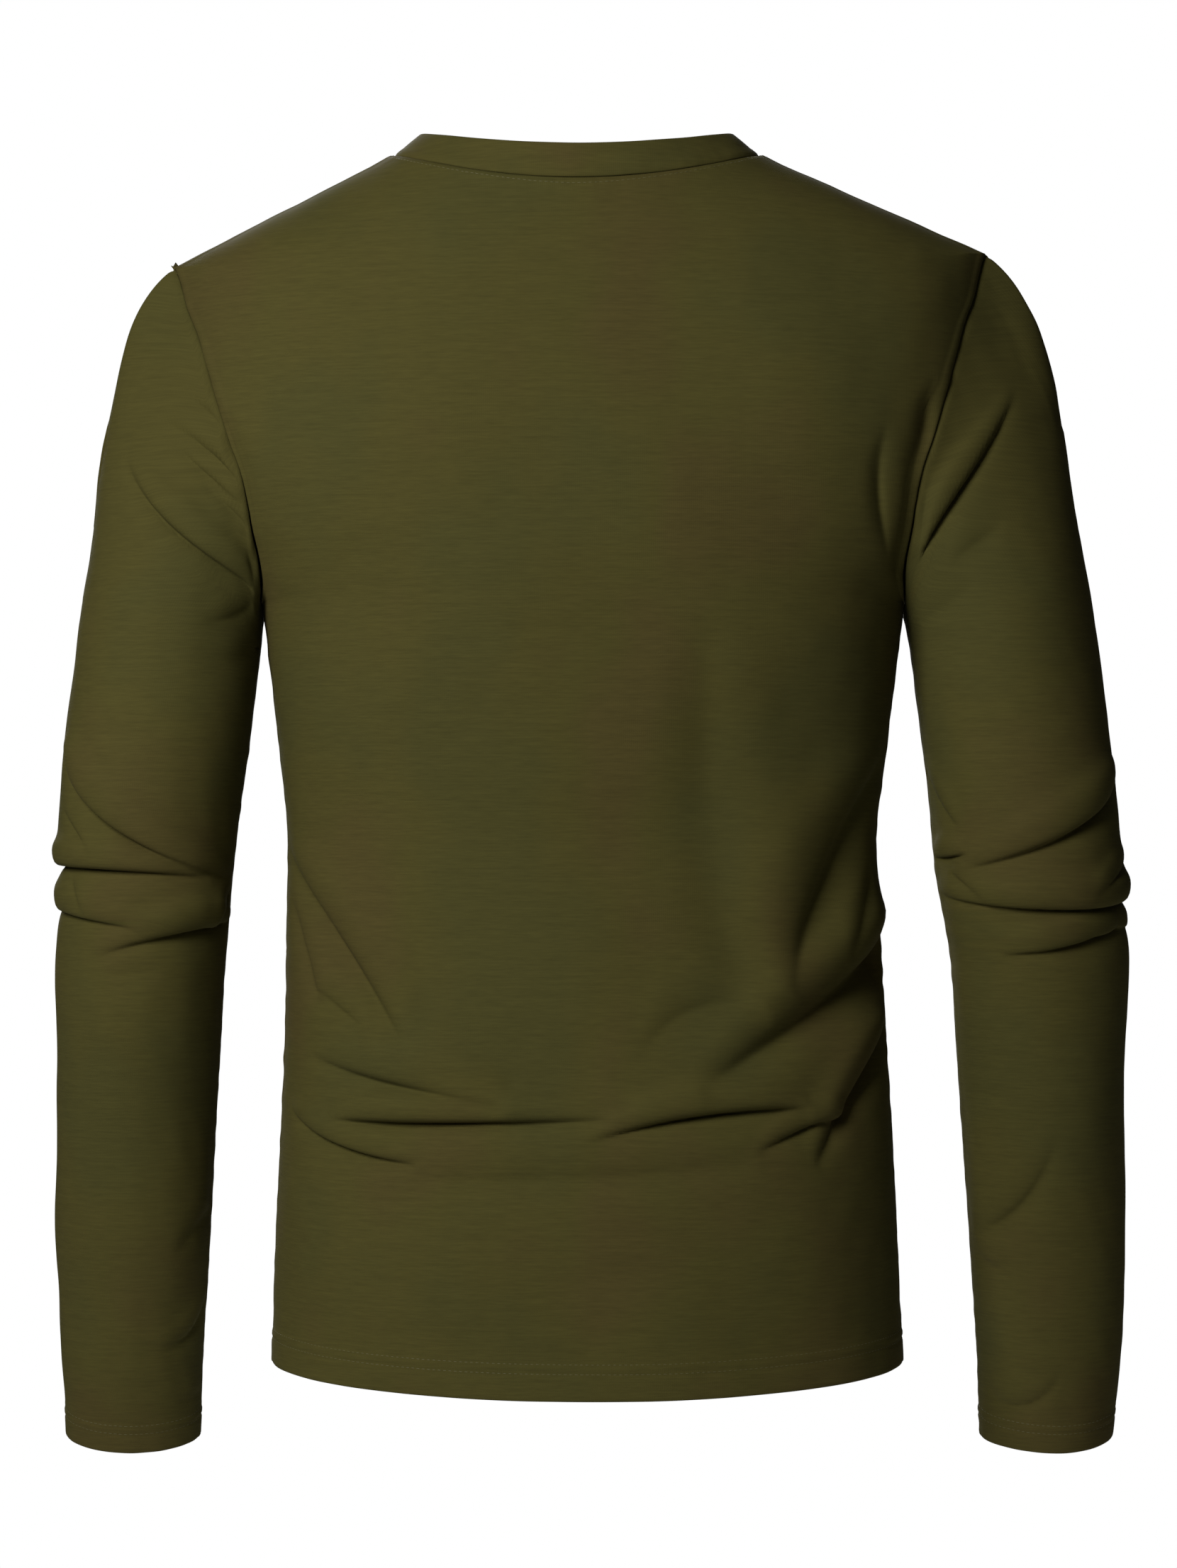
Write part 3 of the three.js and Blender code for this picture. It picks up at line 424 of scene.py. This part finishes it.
# A piece of cloth starts as a flat grid. Every vertex is then set on the cloth, and its measure in metres
# becomes the UV map.
def clothMesh(name, points, middle, flip, join=False):
    rows, columns = points.shape[:2]
    bm = bmesh.new()
    bmesh.ops.create_grid(bm, x_segments=columns - 1, y_segments=rows - 1, size=1)
    mesh = bpy.data.meshes.new(name)
    bm.to_mesh(mesh)
    grid = np.empty(len(mesh.vertices) * 3, np.float32)
    mesh.vertices.foreach_get("co", grid)
    grid = grid.reshape(-1, 3)
    i = np.rint((grid[:, 0] + 1) / 2 * (columns - 1)).astype(int)
    j = np.rint((grid[:, 1] + 1) / 2 * (rows - 1)).astype(int)
    mesh.vertices.foreach_set("co", (points[j, i] * mm).astype(np.float32).ravel())
    u, v = clothMeasure(points, middle)
    corner = np.empty(len(mesh.loops), np.int32)
    mesh.loops.foreach_get("vertex_index", corner)
    measure = np.stack((u[j, i][corner], v[j, i][corner]), axis=1) * mm
    mesh.uv_layers.new(name="cloth").data.foreach_set("uv", measure.astype(np.float32).ravel())
    if flip:
        mesh.flip_normals()
    if join:
        bm.clear()
        bm.from_mesh(mesh)
        bmesh.ops.remove_doubles(bm, verts=bm.verts, dist=1e-6)
        bm.to_mesh(mesh)
    bm.free()
    mesh.shade_smooth()
    piece = bpy.data.objects.new(name, mesh)
    bpy.context.scene.collection.objects.link(piece)
    return piece


def thicken(piece):
    wall = piece.modifiers.new("wall", "SOLIDIFY")
    wall.thickness = cloth["thickness"] * mm
    wall.offset = -1
    wall.use_rim = True


def spaced(stretches):
    return np.concatenate([np.linspace(a, b, n, endpoint=False) for a, b, n in stretches])


# ---- colours and materials ----
def linear(hexColour):
    parts = [int(hexColour[i:i + 2], 16) / 255 for i in (1, 3, 5)]
    return [p / 12.92 if p <= 0.04045 else ((p + 0.055) / 1.055) ** 2.4 for p in parts] + [1]


def addNode(tree, kind, settings=None, links=None):
    node = tree.nodes.new(kind)
    for name, value in (settings or {}).items():
        if hasattr(node, str(name)):
            setattr(node, name, value)
        else:
            node.inputs[name].default_value = value
    for name, source in (links or {}).items():
        tree.links.new(source, node.inputs[name])
    return node


jersey = {
    "olive": "#49441f",  # dyed cotton, matt
    "brown": "#4b4021",
    "green": "#404020",
    "slubLength": 11.0,  # mm, a thicker stretch of yarn
    "slubHeight": 0.9,
    "slubContrast": 0.11,
    "patch": 95.0,  # mm, how large the faint changes of shade are
    "wale": 1.1,  # mm between columns of stitches, drawn wider than the real 0.7 so that they show
    "course": 0.9,
    "relief": 0.06,
    "roughness": 0.88,
}


# Cotton single jersey: knitted, so it shows fine columns of stitches, with slubs across them.
def jerseyMaterial(name, values):
    material = bpy.data.materials.new(name)
    material.use_nodes = True
    tree = material.node_tree
    tree.nodes.clear()
    uv = addNode(tree, "ShaderNodeUVMap", {"uv_map": "cloth"}).outputs["UV"]

    def stretched(width, height):
        scale = (1 / (width * mm), 1 / (height * mm), 1)
        return addNode(tree, "ShaderNodeMapping", {"Scale": scale}, {"Vector": uv}).outputs["Vector"]

    def noise(width, height, detail, roughness):
        settings = {"noise_dimensions": "2D", "Scale": 1, "Detail": detail, "Roughness": roughness}
        links = {"Vector": stretched(width, height)}
        return addNode(tree, "ShaderNodeTexNoise", settings, links).outputs["Fac"]

    def blend(kind, share, a, b):
        node = addNode(tree, "ShaderNodeMix", {"data_type": "RGBA", "blend_type": kind})
        for index, source in ((0, share), (6, a), (7, b)):
            if isinstance(source, bpy.types.NodeSocket):
                tree.links.new(source, node.inputs[index])
            else:
                node.inputs[index].default_value = source
        return node.outputs[2]

    def maths(kind, a, b=0.0):
        node = addNode(tree, "ShaderNodeMath", {"operation": kind})
        for index, source in enumerate((a, b)):
            if isinstance(source, bpy.types.NodeSocket):
                tree.links.new(source, node.inputs[index])
            else:
                node.inputs[index].default_value = source
        return node.outputs["Value"]

    slub = noise(values["slubLength"], values["slubHeight"], 2, 0.6)
    longSlub = noise(values["slubLength"] * 4, values["slubHeight"] * 2.2, 2, 0.5)
    streaks = maths("ADD", maths("MULTIPLY", slub, 0.6), maths("MULTIPLY", longSlub, 0.4))
    patches = noise(values["patch"], values["patch"] * 1.4, 2, 0.5)
    warm = addNode(tree, "ShaderNodeMapRange", {"From Min": 0.52, "From Max": 0.68}, {"Value": patches})
    cool = addNode(tree, "ShaderNodeMapRange", {"From Min": 0.48, "From Max": 0.34}, {"Value": patches})
    colour = blend("MIX", maths("MULTIPLY", warm.outputs["Result"], 0.5),
                   linear(values["olive"]), linear(values["brown"]))
    colour = blend("MIX", maths("MULTIPLY", cool.outputs["Result"], 0.35), colour, linear(values["green"]))
    contrast = values["slubContrast"]
    shade = addNode(tree, "ShaderNodeMapRange",
                    {"From Min": 0.3, "From Max": 0.7, "To Min": 1 - contrast, "To Max": 1 + contrast},
                    {"Value": streaks})
    colour = blend("MULTIPLY", 1.0, colour, shade.outputs["Result"])

    split = addNode(tree, "ShaderNodeSeparateXYZ", links={"Vector": uv})
    wales = maths("MULTIPLY", split.outputs["X"], 1 / (values["wale"] * mm))
    lean = maths("ABSOLUTE", maths("SUBTRACT", maths("FRACT", wales), 0.5))
    courses = maths("MULTIPLY", split.outputs["Y"], 1 / (values["course"] * mm))
    loops = maths("SINE", maths("MULTIPLY", maths("ADD", courses, lean), math.tau))
    ribs = maths("SINE", maths("MULTIPLY", wales, math.tau))
    knit = maths("ADD", maths("MULTIPLY", loops, 0.5), maths("MULTIPLY", ribs, 0.5))
    height = maths("ADD", maths("MULTIPLY", knit, 0.35), maths("MULTIPLY", streaks, 1.2))
    bump = addNode(tree, "ShaderNodeBump", {"Strength": 1.0, "Distance": values["relief"] * mm},
                   {"Height": height})
    shader = addNode(tree, "ShaderNodeBsdfPrincipled",
                     {"Roughness": values["roughness"], "IOR": 1.5, "Specular IOR Level": 0.12,
                      "Sheen Weight": 0.03, "Sheen Roughness": 0.5, "Sheen Tint": linear("#8a8354")},
                     {"Base Color": colour, "Normal": bump.outputs["Normal"]})
    addNode(tree, "ShaderNodeOutputMaterial", links={"Surface": shader.outputs["BSDF"]})
    return material


def threadMaterial():
    material = bpy.data.materials.new("spun polyester sewing thread")
    material.use_nodes = True
    tree = material.node_tree
    tree.nodes.clear()
    place = addNode(tree, "ShaderNodeTexCoord").outputs["Object"]
    twist = addNode(tree, "ShaderNodeTexNoise", {"Scale": 900, "Detail": 1}, {"Vector": place})
    ramp = addNode(tree, "ShaderNodeMix", {"data_type": "RGBA"})
    tree.links.new(twist.outputs["Fac"], ramp.inputs[0])
    ramp.inputs[6].default_value = linear("#4d4824")  # the thread matches the cloth
    ramp.inputs[7].default_value = linear("#5c5730")
    shader = addNode(tree, "ShaderNodeBsdfPrincipled", {"Roughness": 0.6, "IOR": 1.5, "Sheen Weight": 0.1},
                     {"Base Color": ramp.outputs[2]})
    addNode(tree, "ShaderNodeOutputMaterial", links={"Surface": shader.outputs["BSDF"]})
    return material


jerseyCloth = jerseyMaterial("olive cotton single jersey", jersey)
bandCloth = jerseyMaterial("olive cotton jersey, folded band", {**jersey, "patch": 70.0})
threadFinish = threadMaterial()
print("materials made")


def finishPiece(piece, material):
    piece.data.materials.append(material)
    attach(piece, "root")


# ---- body panels ----
body = {
    "columns": 172,  # plain columns between the turned edges
    "armholeRows": 44,
    "shoulderRows": 22,
    "neckSeam": {"welt": 0.5, "width": 4.6, "pucker": 7.0, "ripple": 0.2, "reach": 6.0},
    "sideSeam": {"welt": 0.5, "width": 7.0, "pucker": 12.0, "ripple": 0.3, "reach": 7.0},
    "hem": {"rows": (19.0, 14.0), "step": 0.6, "draw": 0.5},
    "unevenSize": 120.0,
    "unevenHeight": 1.2,
    "fineSize": 26.0,
    "fineHeight": 0.12,
    "foldFade": 7.0,
}
bodyHeight = bodySections["z"][-1] - bodySections["z"][0]
# Over the hem, how far apart the rows lie: from, to, how many.
bodyStretches = [(2.0, 26.0, 14), (26.0, 85.0, 14), (85.0, 250.0, 100), (250.0, 427.0, 48)]


def alongFromMiddle(points):
    steps = length(np.diff(points, axis=-2))
    total = np.concatenate((0 * steps[..., :1], np.cumsum(steps, axis=-1)), axis=-1)
    middle = points.shape[-2] // 2
    return total - total[..., middle:middle + 1]


# The finished outer face of the back (facing 1) or the front (facing -1), and which way is out of it.
# calm is where the turned edges take that from: the nearest plain point.
def bodyCloth(facing, level, across, calm=None, inset=0.0):
    surface = lambda u, v: bodySurface(facing, u, v)
    base = surface(level, across)
    out, aside, rise = clothWays(surface, *(calm or (level, across)), 1e-3, 1e-3, -facing)
    a, h = alongFromMiddle(base), base[..., 2]
    near = 1e-3
    side = np.where(across < 0, -1.0, 1.0)
    toSide = (1 - np.abs(across)) * length(surface(level, side) - surface(level, side * (1 - near))) / near
    toNeck = (3 - level) * length(surface(3 + 0 * level, across) - surface(3 - near + 0 * level, across)) / near
    seed = cloth["seed"] + (0 if facing > 0 else 40)
    toEdge = np.minimum(toSide, toNeck)
    fade = ease(toEdge, 0, body["foldFade"])
    shift, sideways, upwards = (fade * part for part in creaseShift(bodyCreases[facing], a, h, 1))
    shift += ease(toEdge, 0, 60) * unevenness(a, h, body["unevenSize"], body["unevenHeight"], 12, seed)
    shift += fade * unevenness(a, h, body["fineSize"], body["fineHeight"], 16, seed + 1)
    shift += seamRelief(toSide, h * side, body["sideSeam"], seed + 2)
    shift += seamRelief(toNeck, a, body["neckSeam"], seed + 3) * ease(level, 2.2, 2.5)
    shift += hemRelief(level * bodyHeight, body["hem"]) * (level < 1)
    points = base + out * (shift - inset)[..., None]
    return points + aside * sideways[..., None] + rise * upwards[..., None], out


def bodyGrid(facing):
    near = 1e-3
    rows = [(rise / bodyHeight, None, inset) for rise, inset in turnUp]
    rows += [(rise / bodyHeight, None, 0.0) for rise in spaced(bodyStretches)[1:]]
    rows += [(up, None, 0.0) for up in spaced([(1, 2, body["armholeRows"]), (2, 3, body["shoulderRows"])])]
    rows += [(3.0, None, 0.0)] + [(3.0, distance, depth) for distance, depth in neckEdge]
    columns = [(-1.0, distance, depth) for distance, depth in reversed(plainEdge)]
    columns += [(share, None, 0.0) for share in np.linspace(-1, 1, body["columns"] + 1)]
    columns += [(1.0, distance, depth) for distance, depth in plainEdge]
    shareOf = np.array([c[0] for c in columns])
    upSpeed = length(bodySurface(facing, 3.0, shareOf) - bodySurface(facing, 3 - near, shareOf)) / near
    level = np.zeros((len(rows), len(columns)))
    for j, (at, distance, _) in enumerate(rows):
        if distance is not None:
            level[j] = 3 - distance / upSpeed
        else:
            level[j] = at if at <= 2 else 2 + (at - 2) * (1 - edgeReach / upSpeed)
    side = np.where(shareOf < 0, -1.0, 1.0)[None, :] + 0 * level
    speed = length(bodySurface(facing, level, side) - bodySurface(facing, level, side * (1 - near))) / near
    across = shareOf[None, :] * (1 - edgeReach / speed)
    for i, (share, distance, _) in enumerate(columns):
        if distance is not None:
            across[:, i] = share * (1 - distance / speed[:, i])
    inset = np.array([r[2] for r in rows])[:, None] + np.array([c[2] for c in columns])[None, :]
    lastRow, first, last = -1 - len(neckEdge), len(plainEdge), -1 - len(plainEdge)
    calm = (np.minimum(level, level[lastRow]), np.clip(across, across[:, [first]], across[:, [last]]))
    return level, across, calm, inset


def makePanel(name, node, points, flip):
    piece = clothMesh(name, points, points.shape[1] // 2, flip)
    thicken(piece)
    finishPiece(piece, jerseyCloth)
    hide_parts(node)
    print(name, "made:", points.shape[0], "rows,", points.shape[1], "columns")
    return piece


backPanel = makePanel("backPanel", "back", bodyCloth(1, *bodyGrid(1))[0], True)
frontPanel = makePanel("frontPanel", "front", bodyCloth(-1, *bodyGrid(-1))[0], False)

# ---- sleeves ----
sleeve = {
    "columns": 148,
    "capRows": 56,
    "armholeSeam": {"welt": 0.0, "width": 4.0, "pucker": 12.0, "ripple": 0.35, "reach": 7.0},
    "underSeam": {"welt": 0.3, "width": 6.0, "pucker": 11.0, "ripple": 0.2, "reach": 5.0},
    "cuff": {"rows": (17.0, 12.0), "step": 0.5, "draw": 0.45},
    "unevenSize": 90.0,
    "unevenHeight": 0.9,
    "fineSize": 22.0,
    "fineHeight": 0.1,
    "foldFade": 4.0,
}
sleeveTop, sleeveLow = sleeveSections["z"][0], sleeveSections["z"][-1]
perDegree = math.radians(1) * shape["armGirth"]
sleeveStretches = [(-270, -325, 17), (-325, -470, 112), (-470, -700, 72), (-700, -725, 15)]


# Degrees round the arm: 0 outside, 90 behind, 180 under the arm. On the cap it follows from how far out
# a point lies, because its columns spread from the armhole.
def roundTheArm(side, points, down, turn):
    out, width = (along(armMiddle, "z", key, points[..., 2]) for key in ("out", "width"))
    angle = np.degrees(np.arccos(np.clip((side * points[..., 0] - out) / width, -1, 1)))
    behind = points[..., 1]
    onCap = np.where(points[..., 2] > armMiddle["z"][0], ease(np.abs(behind), 3, 22), 1)
    return np.where(down < 1, np.where(behind < 0, -angle, angle) * onCap, turn)


def sleeveCloth(side, down, turn, calm=None, inset=0.0):
    surface = lambda u, v: sleeveSurface(side, u, v)
    base = surface(down, turn)
    out, aside, rise = clothWays(surface, *(calm or (down, turn)), 0.01, 0.5, -side)
    h = base[..., 2]
    name = "left" if side > 0 else "right"
    toArmhole = length(base - surface(0 * down, turn))
    toUnderSeam = (180 - np.abs(turn)) * perDegree + 0 * down
    seed = cloth["seed"] + (80 if side > 0 else 120)
    fade = ease(toArmhole, 0, sleeve["foldFade"])
    around = roundTheArm(side, base, down, turn)
    laps = [creaseShift(sleeveCreases[name], around + lap, h, perDegree) for lap in (-360, 0, 360)]
    shift, sideways, upwards = (fade * sum(parts) for parts in zip(*laps))
    spread = around * perDegree
    wide = ease(toArmhole, 0, 50) * ease(toUnderSeam, 0, 30)
    shift += wide * unevenness(spread, h, sleeve["unevenSize"], sleeve["unevenHeight"], 12, seed)
    shift += fade * unevenness(spread, h, sleeve["fineSize"], sleeve["fineHeight"], 16, seed + 1)
    shift += seamRelief(toArmhole, turn * perDegree + 0 * h, sleeve["armholeSeam"], seed + 2)
    shift += seamRelief(toUnderSeam, h, sleeve["underSeam"], seed + 3)
    shift += hemRelief((2 - down) * (sleeveTop - sleeveLow), sleeve["cuff"]) * (down > 1)
    points = base + out * (shift - inset)[..., None]
    return points + aside * sideways[..., None] + rise * upwards[..., None], out


def sleeveGrid(side):
    near = 1e-3
    fall = sleeveTop - sleeveLow
    rows = [(0.0, distance, depth) for distance, depth in reversed(lowEdge)]
    rows += [(down, None, 0.0) for down in spaced([(0, 1, sleeve["capRows"])])]
    rows += [(1 + (sleeveTop - z) / fall, None, 0.0) for z in spaced(sleeveStretches)]
    rows += [(2 - rise / fall, None, depth) for rise, depth in reversed(turnUp)]
    columns = [(-180 + distance / perDegree, depth) for distance, depth in reversed(plainEdge)]
    inner = 180 - edgeReach / perDegree
    columns += [(turn, 0.0) for turn in np.linspace(-inner, inner, sleeve["columns"] + 1)]
    columns += [(180 - distance / perDegree, depth) for distance, depth in plainEdge]
    turn = np.array([c[0] for c in columns])[None, :]
    speed = length(sleeveSurface(side, near, turn[0]) - sleeveSurface(side, 0.0, turn[0])) / near
    first = edgeReach / speed
    down = np.zeros((len(rows), turn.shape[1]))
    for j, (at, distance, _) in enumerate(rows):
        down[j] = distance / speed if distance is not None else (first + at * (1 - first) if at < 1 else at)
    inset = np.array([r[2] for r in rows])[:, None] + np.array([c[1] for c in columns])[None, :]
    calm = (np.maximum(down, down[len(lowEdge)]), np.clip(turn, -inner, inner))
    return down, turn, calm, inset


leftSleeve = makePanel("leftSleeve", "sleeve_left", sleeveCloth(1, *sleeveGrid(1))[0], True)
rightSleeve = makePanel("rightSleeve", "sleeve_right", sleeveCloth(-1, *sleeveGrid(-1))[0], False)

# ---- neckband ----
band = {
    "height": 20.0,
    "columns": 260,
    "leanBack": 12.0, "leanSide": 50.0, "leanFront": 28.0,
    "fold": 2.0,  # from the outer face to the inner one
    "unevenSize": 40.0,
    "unevenHeight": 0.22,
}
# Up the outside, over the fold and down the inside: height over the seam and how deep it lies.
bandRows = neckEdge[::-1] + [(float(rise), 0.0) for rise in np.arange(3.6, 18.1, 1.6)]
bandRows += [(19.0, 0.05), (19.6, 0.35), (19.95, 0.9), (19.6, 1.6), (19.0, 1.95)]
bandRows += [(float(rise), 2.0) for rise in np.arange(17, 1, -2.0)]


def makeNeckband(name, node):
    turn = np.linspace(0, 4, band["columns"] + 1)  # round the ring: 0 to 2 behind, 2 to 4 in front
    facing = np.where(turn < 2, 1.0, -1.0)
    across = np.where(turn < 2, 1 - turn, turn - 3)
    back, front = bodySurface(1, 3.0, across), bodySurface(-1, 3.0, across)
    foot = np.where((facing > 0)[:, None], back, front)[:-1]
    edge = np.roll(foot, -1, axis=0) - np.roll(foot, 1, axis=0)
    out = unit(vec(edge[:, 1], -edge[:, 0], 0))
    middle = np.where(facing > 0, band["leanBack"], band["leanFront"])[:-1]
    lean = np.radians(mix(middle, band["leanSide"], ease(np.abs(across[:-1]), 0, 1)))[:, None]
    up = vec(0, 0, 1) * np.cos(lean) - out * np.sin(lean)
    normal = unit(np.cross(unit(edge), up))
    rise = unit(np.cross(normal, unit(edge)))
    heights = np.array([r[0] for r in bandRows])[:, None, None]
    depths = np.array([r[1] for r in bandRows])[:, None]
    place = np.concatenate(([0], np.cumsum(length(np.diff(foot, axis=0)))))
    wave = unevenness(place[None, :], heights[..., 0] * 1.5, band["unevenSize"], band["unevenHeight"], 10, 5)
    wave = wave + seamRelief(heights[..., 0], place[None, :], body["neckSeam"], cloth["seed"] + 3) * 0.6
    points = foot + rise * heights * band["height"] / 20 + normal * (wave - depths)[..., None]
    points = np.concatenate((points, points[:, :1]), axis=1)
    piece = clothMesh(name, points, points.shape[1] // 4, flip=False, join=True)
    thicken(piece)
    finishPiece(piece, bandCloth)
    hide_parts(node)
    print(name, "made")
    return piece


neckband = makeNeckband("neckbandCloth", "neckband")

# ---- stitches ----
stitch = {"pitch": 3.0, "length": 2.5, "width": 0.42, "height": 0.3, "sunk": 0.05, "neckBelow": 4.0}


# Stitches stand on a line of points that is first spaced out evenly.
def addStitches(bm, points, normals):
    steps = np.concatenate(([0], np.cumsum(length(np.diff(points, axis=0)))))
    count = max(int(steps[-1] / stitch["pitch"]), 1)
    places = (np.arange(count) + 0.5) * steps[-1] / count
    at = np.stack([np.interp(places, steps, points[:, k]) for k in range(3)], axis=1)
    out = unit(np.stack([np.interp(places, steps, normals[:, k]) for k in range(3)], axis=1))
    way = unit(np.gradient(at, axis=0))
    for spot, normal, run in zip(at, out, way):
        z = Vector(normal)
        x = (Vector(run) - z * Vector(run).dot(z)).normalized()
        y = z.cross(x)
        spot = Vector(spot) - z * stitch["sunk"]
        sizes = (stitch["length"] / 2, stitch["width"] / 2, stitch["height"] / 2)
        turned = Matrix((x, y, z)).transposed().to_4x4()
        matrix = Matrix.Translation(spot * mm) @ turned @ Matrix.Diagonal([*[s * mm for s in sizes], 1])
        bmesh.ops.create_uvsphere(bm, u_segments=6, v_segments=4, radius=1, matrix=matrix)


def stitchPiece(name, lines):
    bm = bmesh.new()
    for points, normals in lines:
        addStitches(bm, points, normals)
    for face in bm.faces:
        face.smooth = True
    bmesh.ops.recalc_face_normals(bm, faces=bm.faces)
    mesh = bpy.data.meshes.new(name)
    bm.to_mesh(mesh)
    bm.free()
    piece = bpy.data.objects.new(name, mesh)
    bpy.context.scene.collection.objects.link(piece)
    finishPiece(piece, threadFinish)
    print(name, "made")
    return piece


hemLines, cuffLines, neckLines = [], [], []
edgeShares = np.linspace(-0.99, 0.99, 241)
for facing in (1, -1):
    for row in body["hem"]["rows"]:
        hemLines.append(bodyCloth(facing, row / bodyHeight + 0 * edgeShares, edgeShares))
    neckSpeed = length(bodySurface(facing, 3.0, edgeShares) - bodySurface(facing, 2.999, edgeShares)) / 0.001
    neckLines.append(bodyCloth(facing, 3 - stitch["neckBelow"] / neckSpeed, edgeShares))
for side in (1, -1):
    turns = np.linspace(-178, 178, 200)
    for row in sleeve["cuff"]["rows"]:
        cuffLines.append(sleeveCloth(side, 2 - row / (sleeveTop - sleeveLow) + 0 * turns, turns))
hemStitches = stitchPiece("hemStitches", hemLines)
cuffStitches = stitchPiece("cuffStitches", cuffLines)
neckStitches = stitchPiece("neckStitches", neckLines)

# ---- studio ----
studio = {
    "camera": (-1.6, 2500.0, -352.0),  # behind the shirt, level with its middle
    "lens": 101.7,
    "floor": -1450.0,
    "key": {"at": (900, 1500, 420), "aim": (0, 40, -330), "size": 900, "power": 34},
    "frontLight": {"at": (500, -2300, 900), "aim": (0, -60, -330), "size": 1600, "power": 60},
    "fill": 0.05,
}


def addLight(name, values):
    data = bpy.data.lights.new(name, "AREA")
    data.shape = "SQUARE"
    data.size = values["size"] * mm
    data.energy = values["power"]
    lamp = bpy.data.objects.new(name, data)
    at, aim = Vector(values["at"]) * mm, Vector(values["aim"]) * mm
    lamp.location = at
    lamp.rotation_euler = (aim - at).to_track_quat("-Z", "Y").to_euler()
    bpy.context.scene.collection.objects.link(lamp)


addLight("keySoftbox", studio["key"])
addLight("frontSoftbox", studio["frontLight"])

bm = bmesh.new()
bmesh.ops.create_circle(bm, cap_ends=True, segments=96, radius=1.8,
                        matrix=Matrix.Translation((0, 0, studio["floor"] * mm)))
floorMesh = bpy.data.meshes.new("studioFloor")
bm.to_mesh(floorMesh)
bm.free()
floor = bpy.data.objects.new("studioFloor", floorMesh)
bpy.context.scene.collection.objects.link(floor)
floorPaint = bpy.data.materials.new("pale matt floor paint")
floorPaint.use_nodes = True
floorPaint.node_tree.nodes["Principled BSDF"].inputs["Base Color"].default_value = linear("#e6e6e4")
floorPaint.node_tree.nodes["Principled BSDF"].inputs["Roughness"].default_value = 0.9
floorMesh.materials.append(floorPaint)

world = bpy.data.worlds.new("studioAir")
world.use_nodes = True
tree = world.node_tree
tree.nodes.clear()
dim = addNode(tree, "ShaderNodeBackground", {"Color": (1, 1, 1, 1), "Strength": studio["fill"]})
white = addNode(tree, "ShaderNodeBackground", {"Color": (1, 1, 1, 1), "Strength": 1.0})
rays = addNode(tree, "ShaderNodeLightPath")
both = addNode(tree, "ShaderNodeMixShader")
tree.links.new(rays.outputs["Is Camera Ray"], both.inputs[0])
tree.links.new(dim.outputs[0], both.inputs[1])
tree.links.new(white.outputs[0], both.inputs[2])
addNode(tree, "ShaderNodeOutputWorld", links={"Surface": both.outputs[0]})
bpy.context.scene.world = world
bpy.context.scene.view_settings.view_transform = "Standard"

cameraData = bpy.data.cameras.new("camera")
cameraData.lens = studio["lens"]
cameraData.sensor_width = 36
camera = bpy.data.objects.new("camera", cameraData)
camera.location = Vector(studio["camera"]) * mm
camera.rotation_euler = (math.radians(90), 0, math.radians(180))
bpy.context.scene.collection.objects.link(camera)
bpy.context.scene.camera = camera
print("studio made")
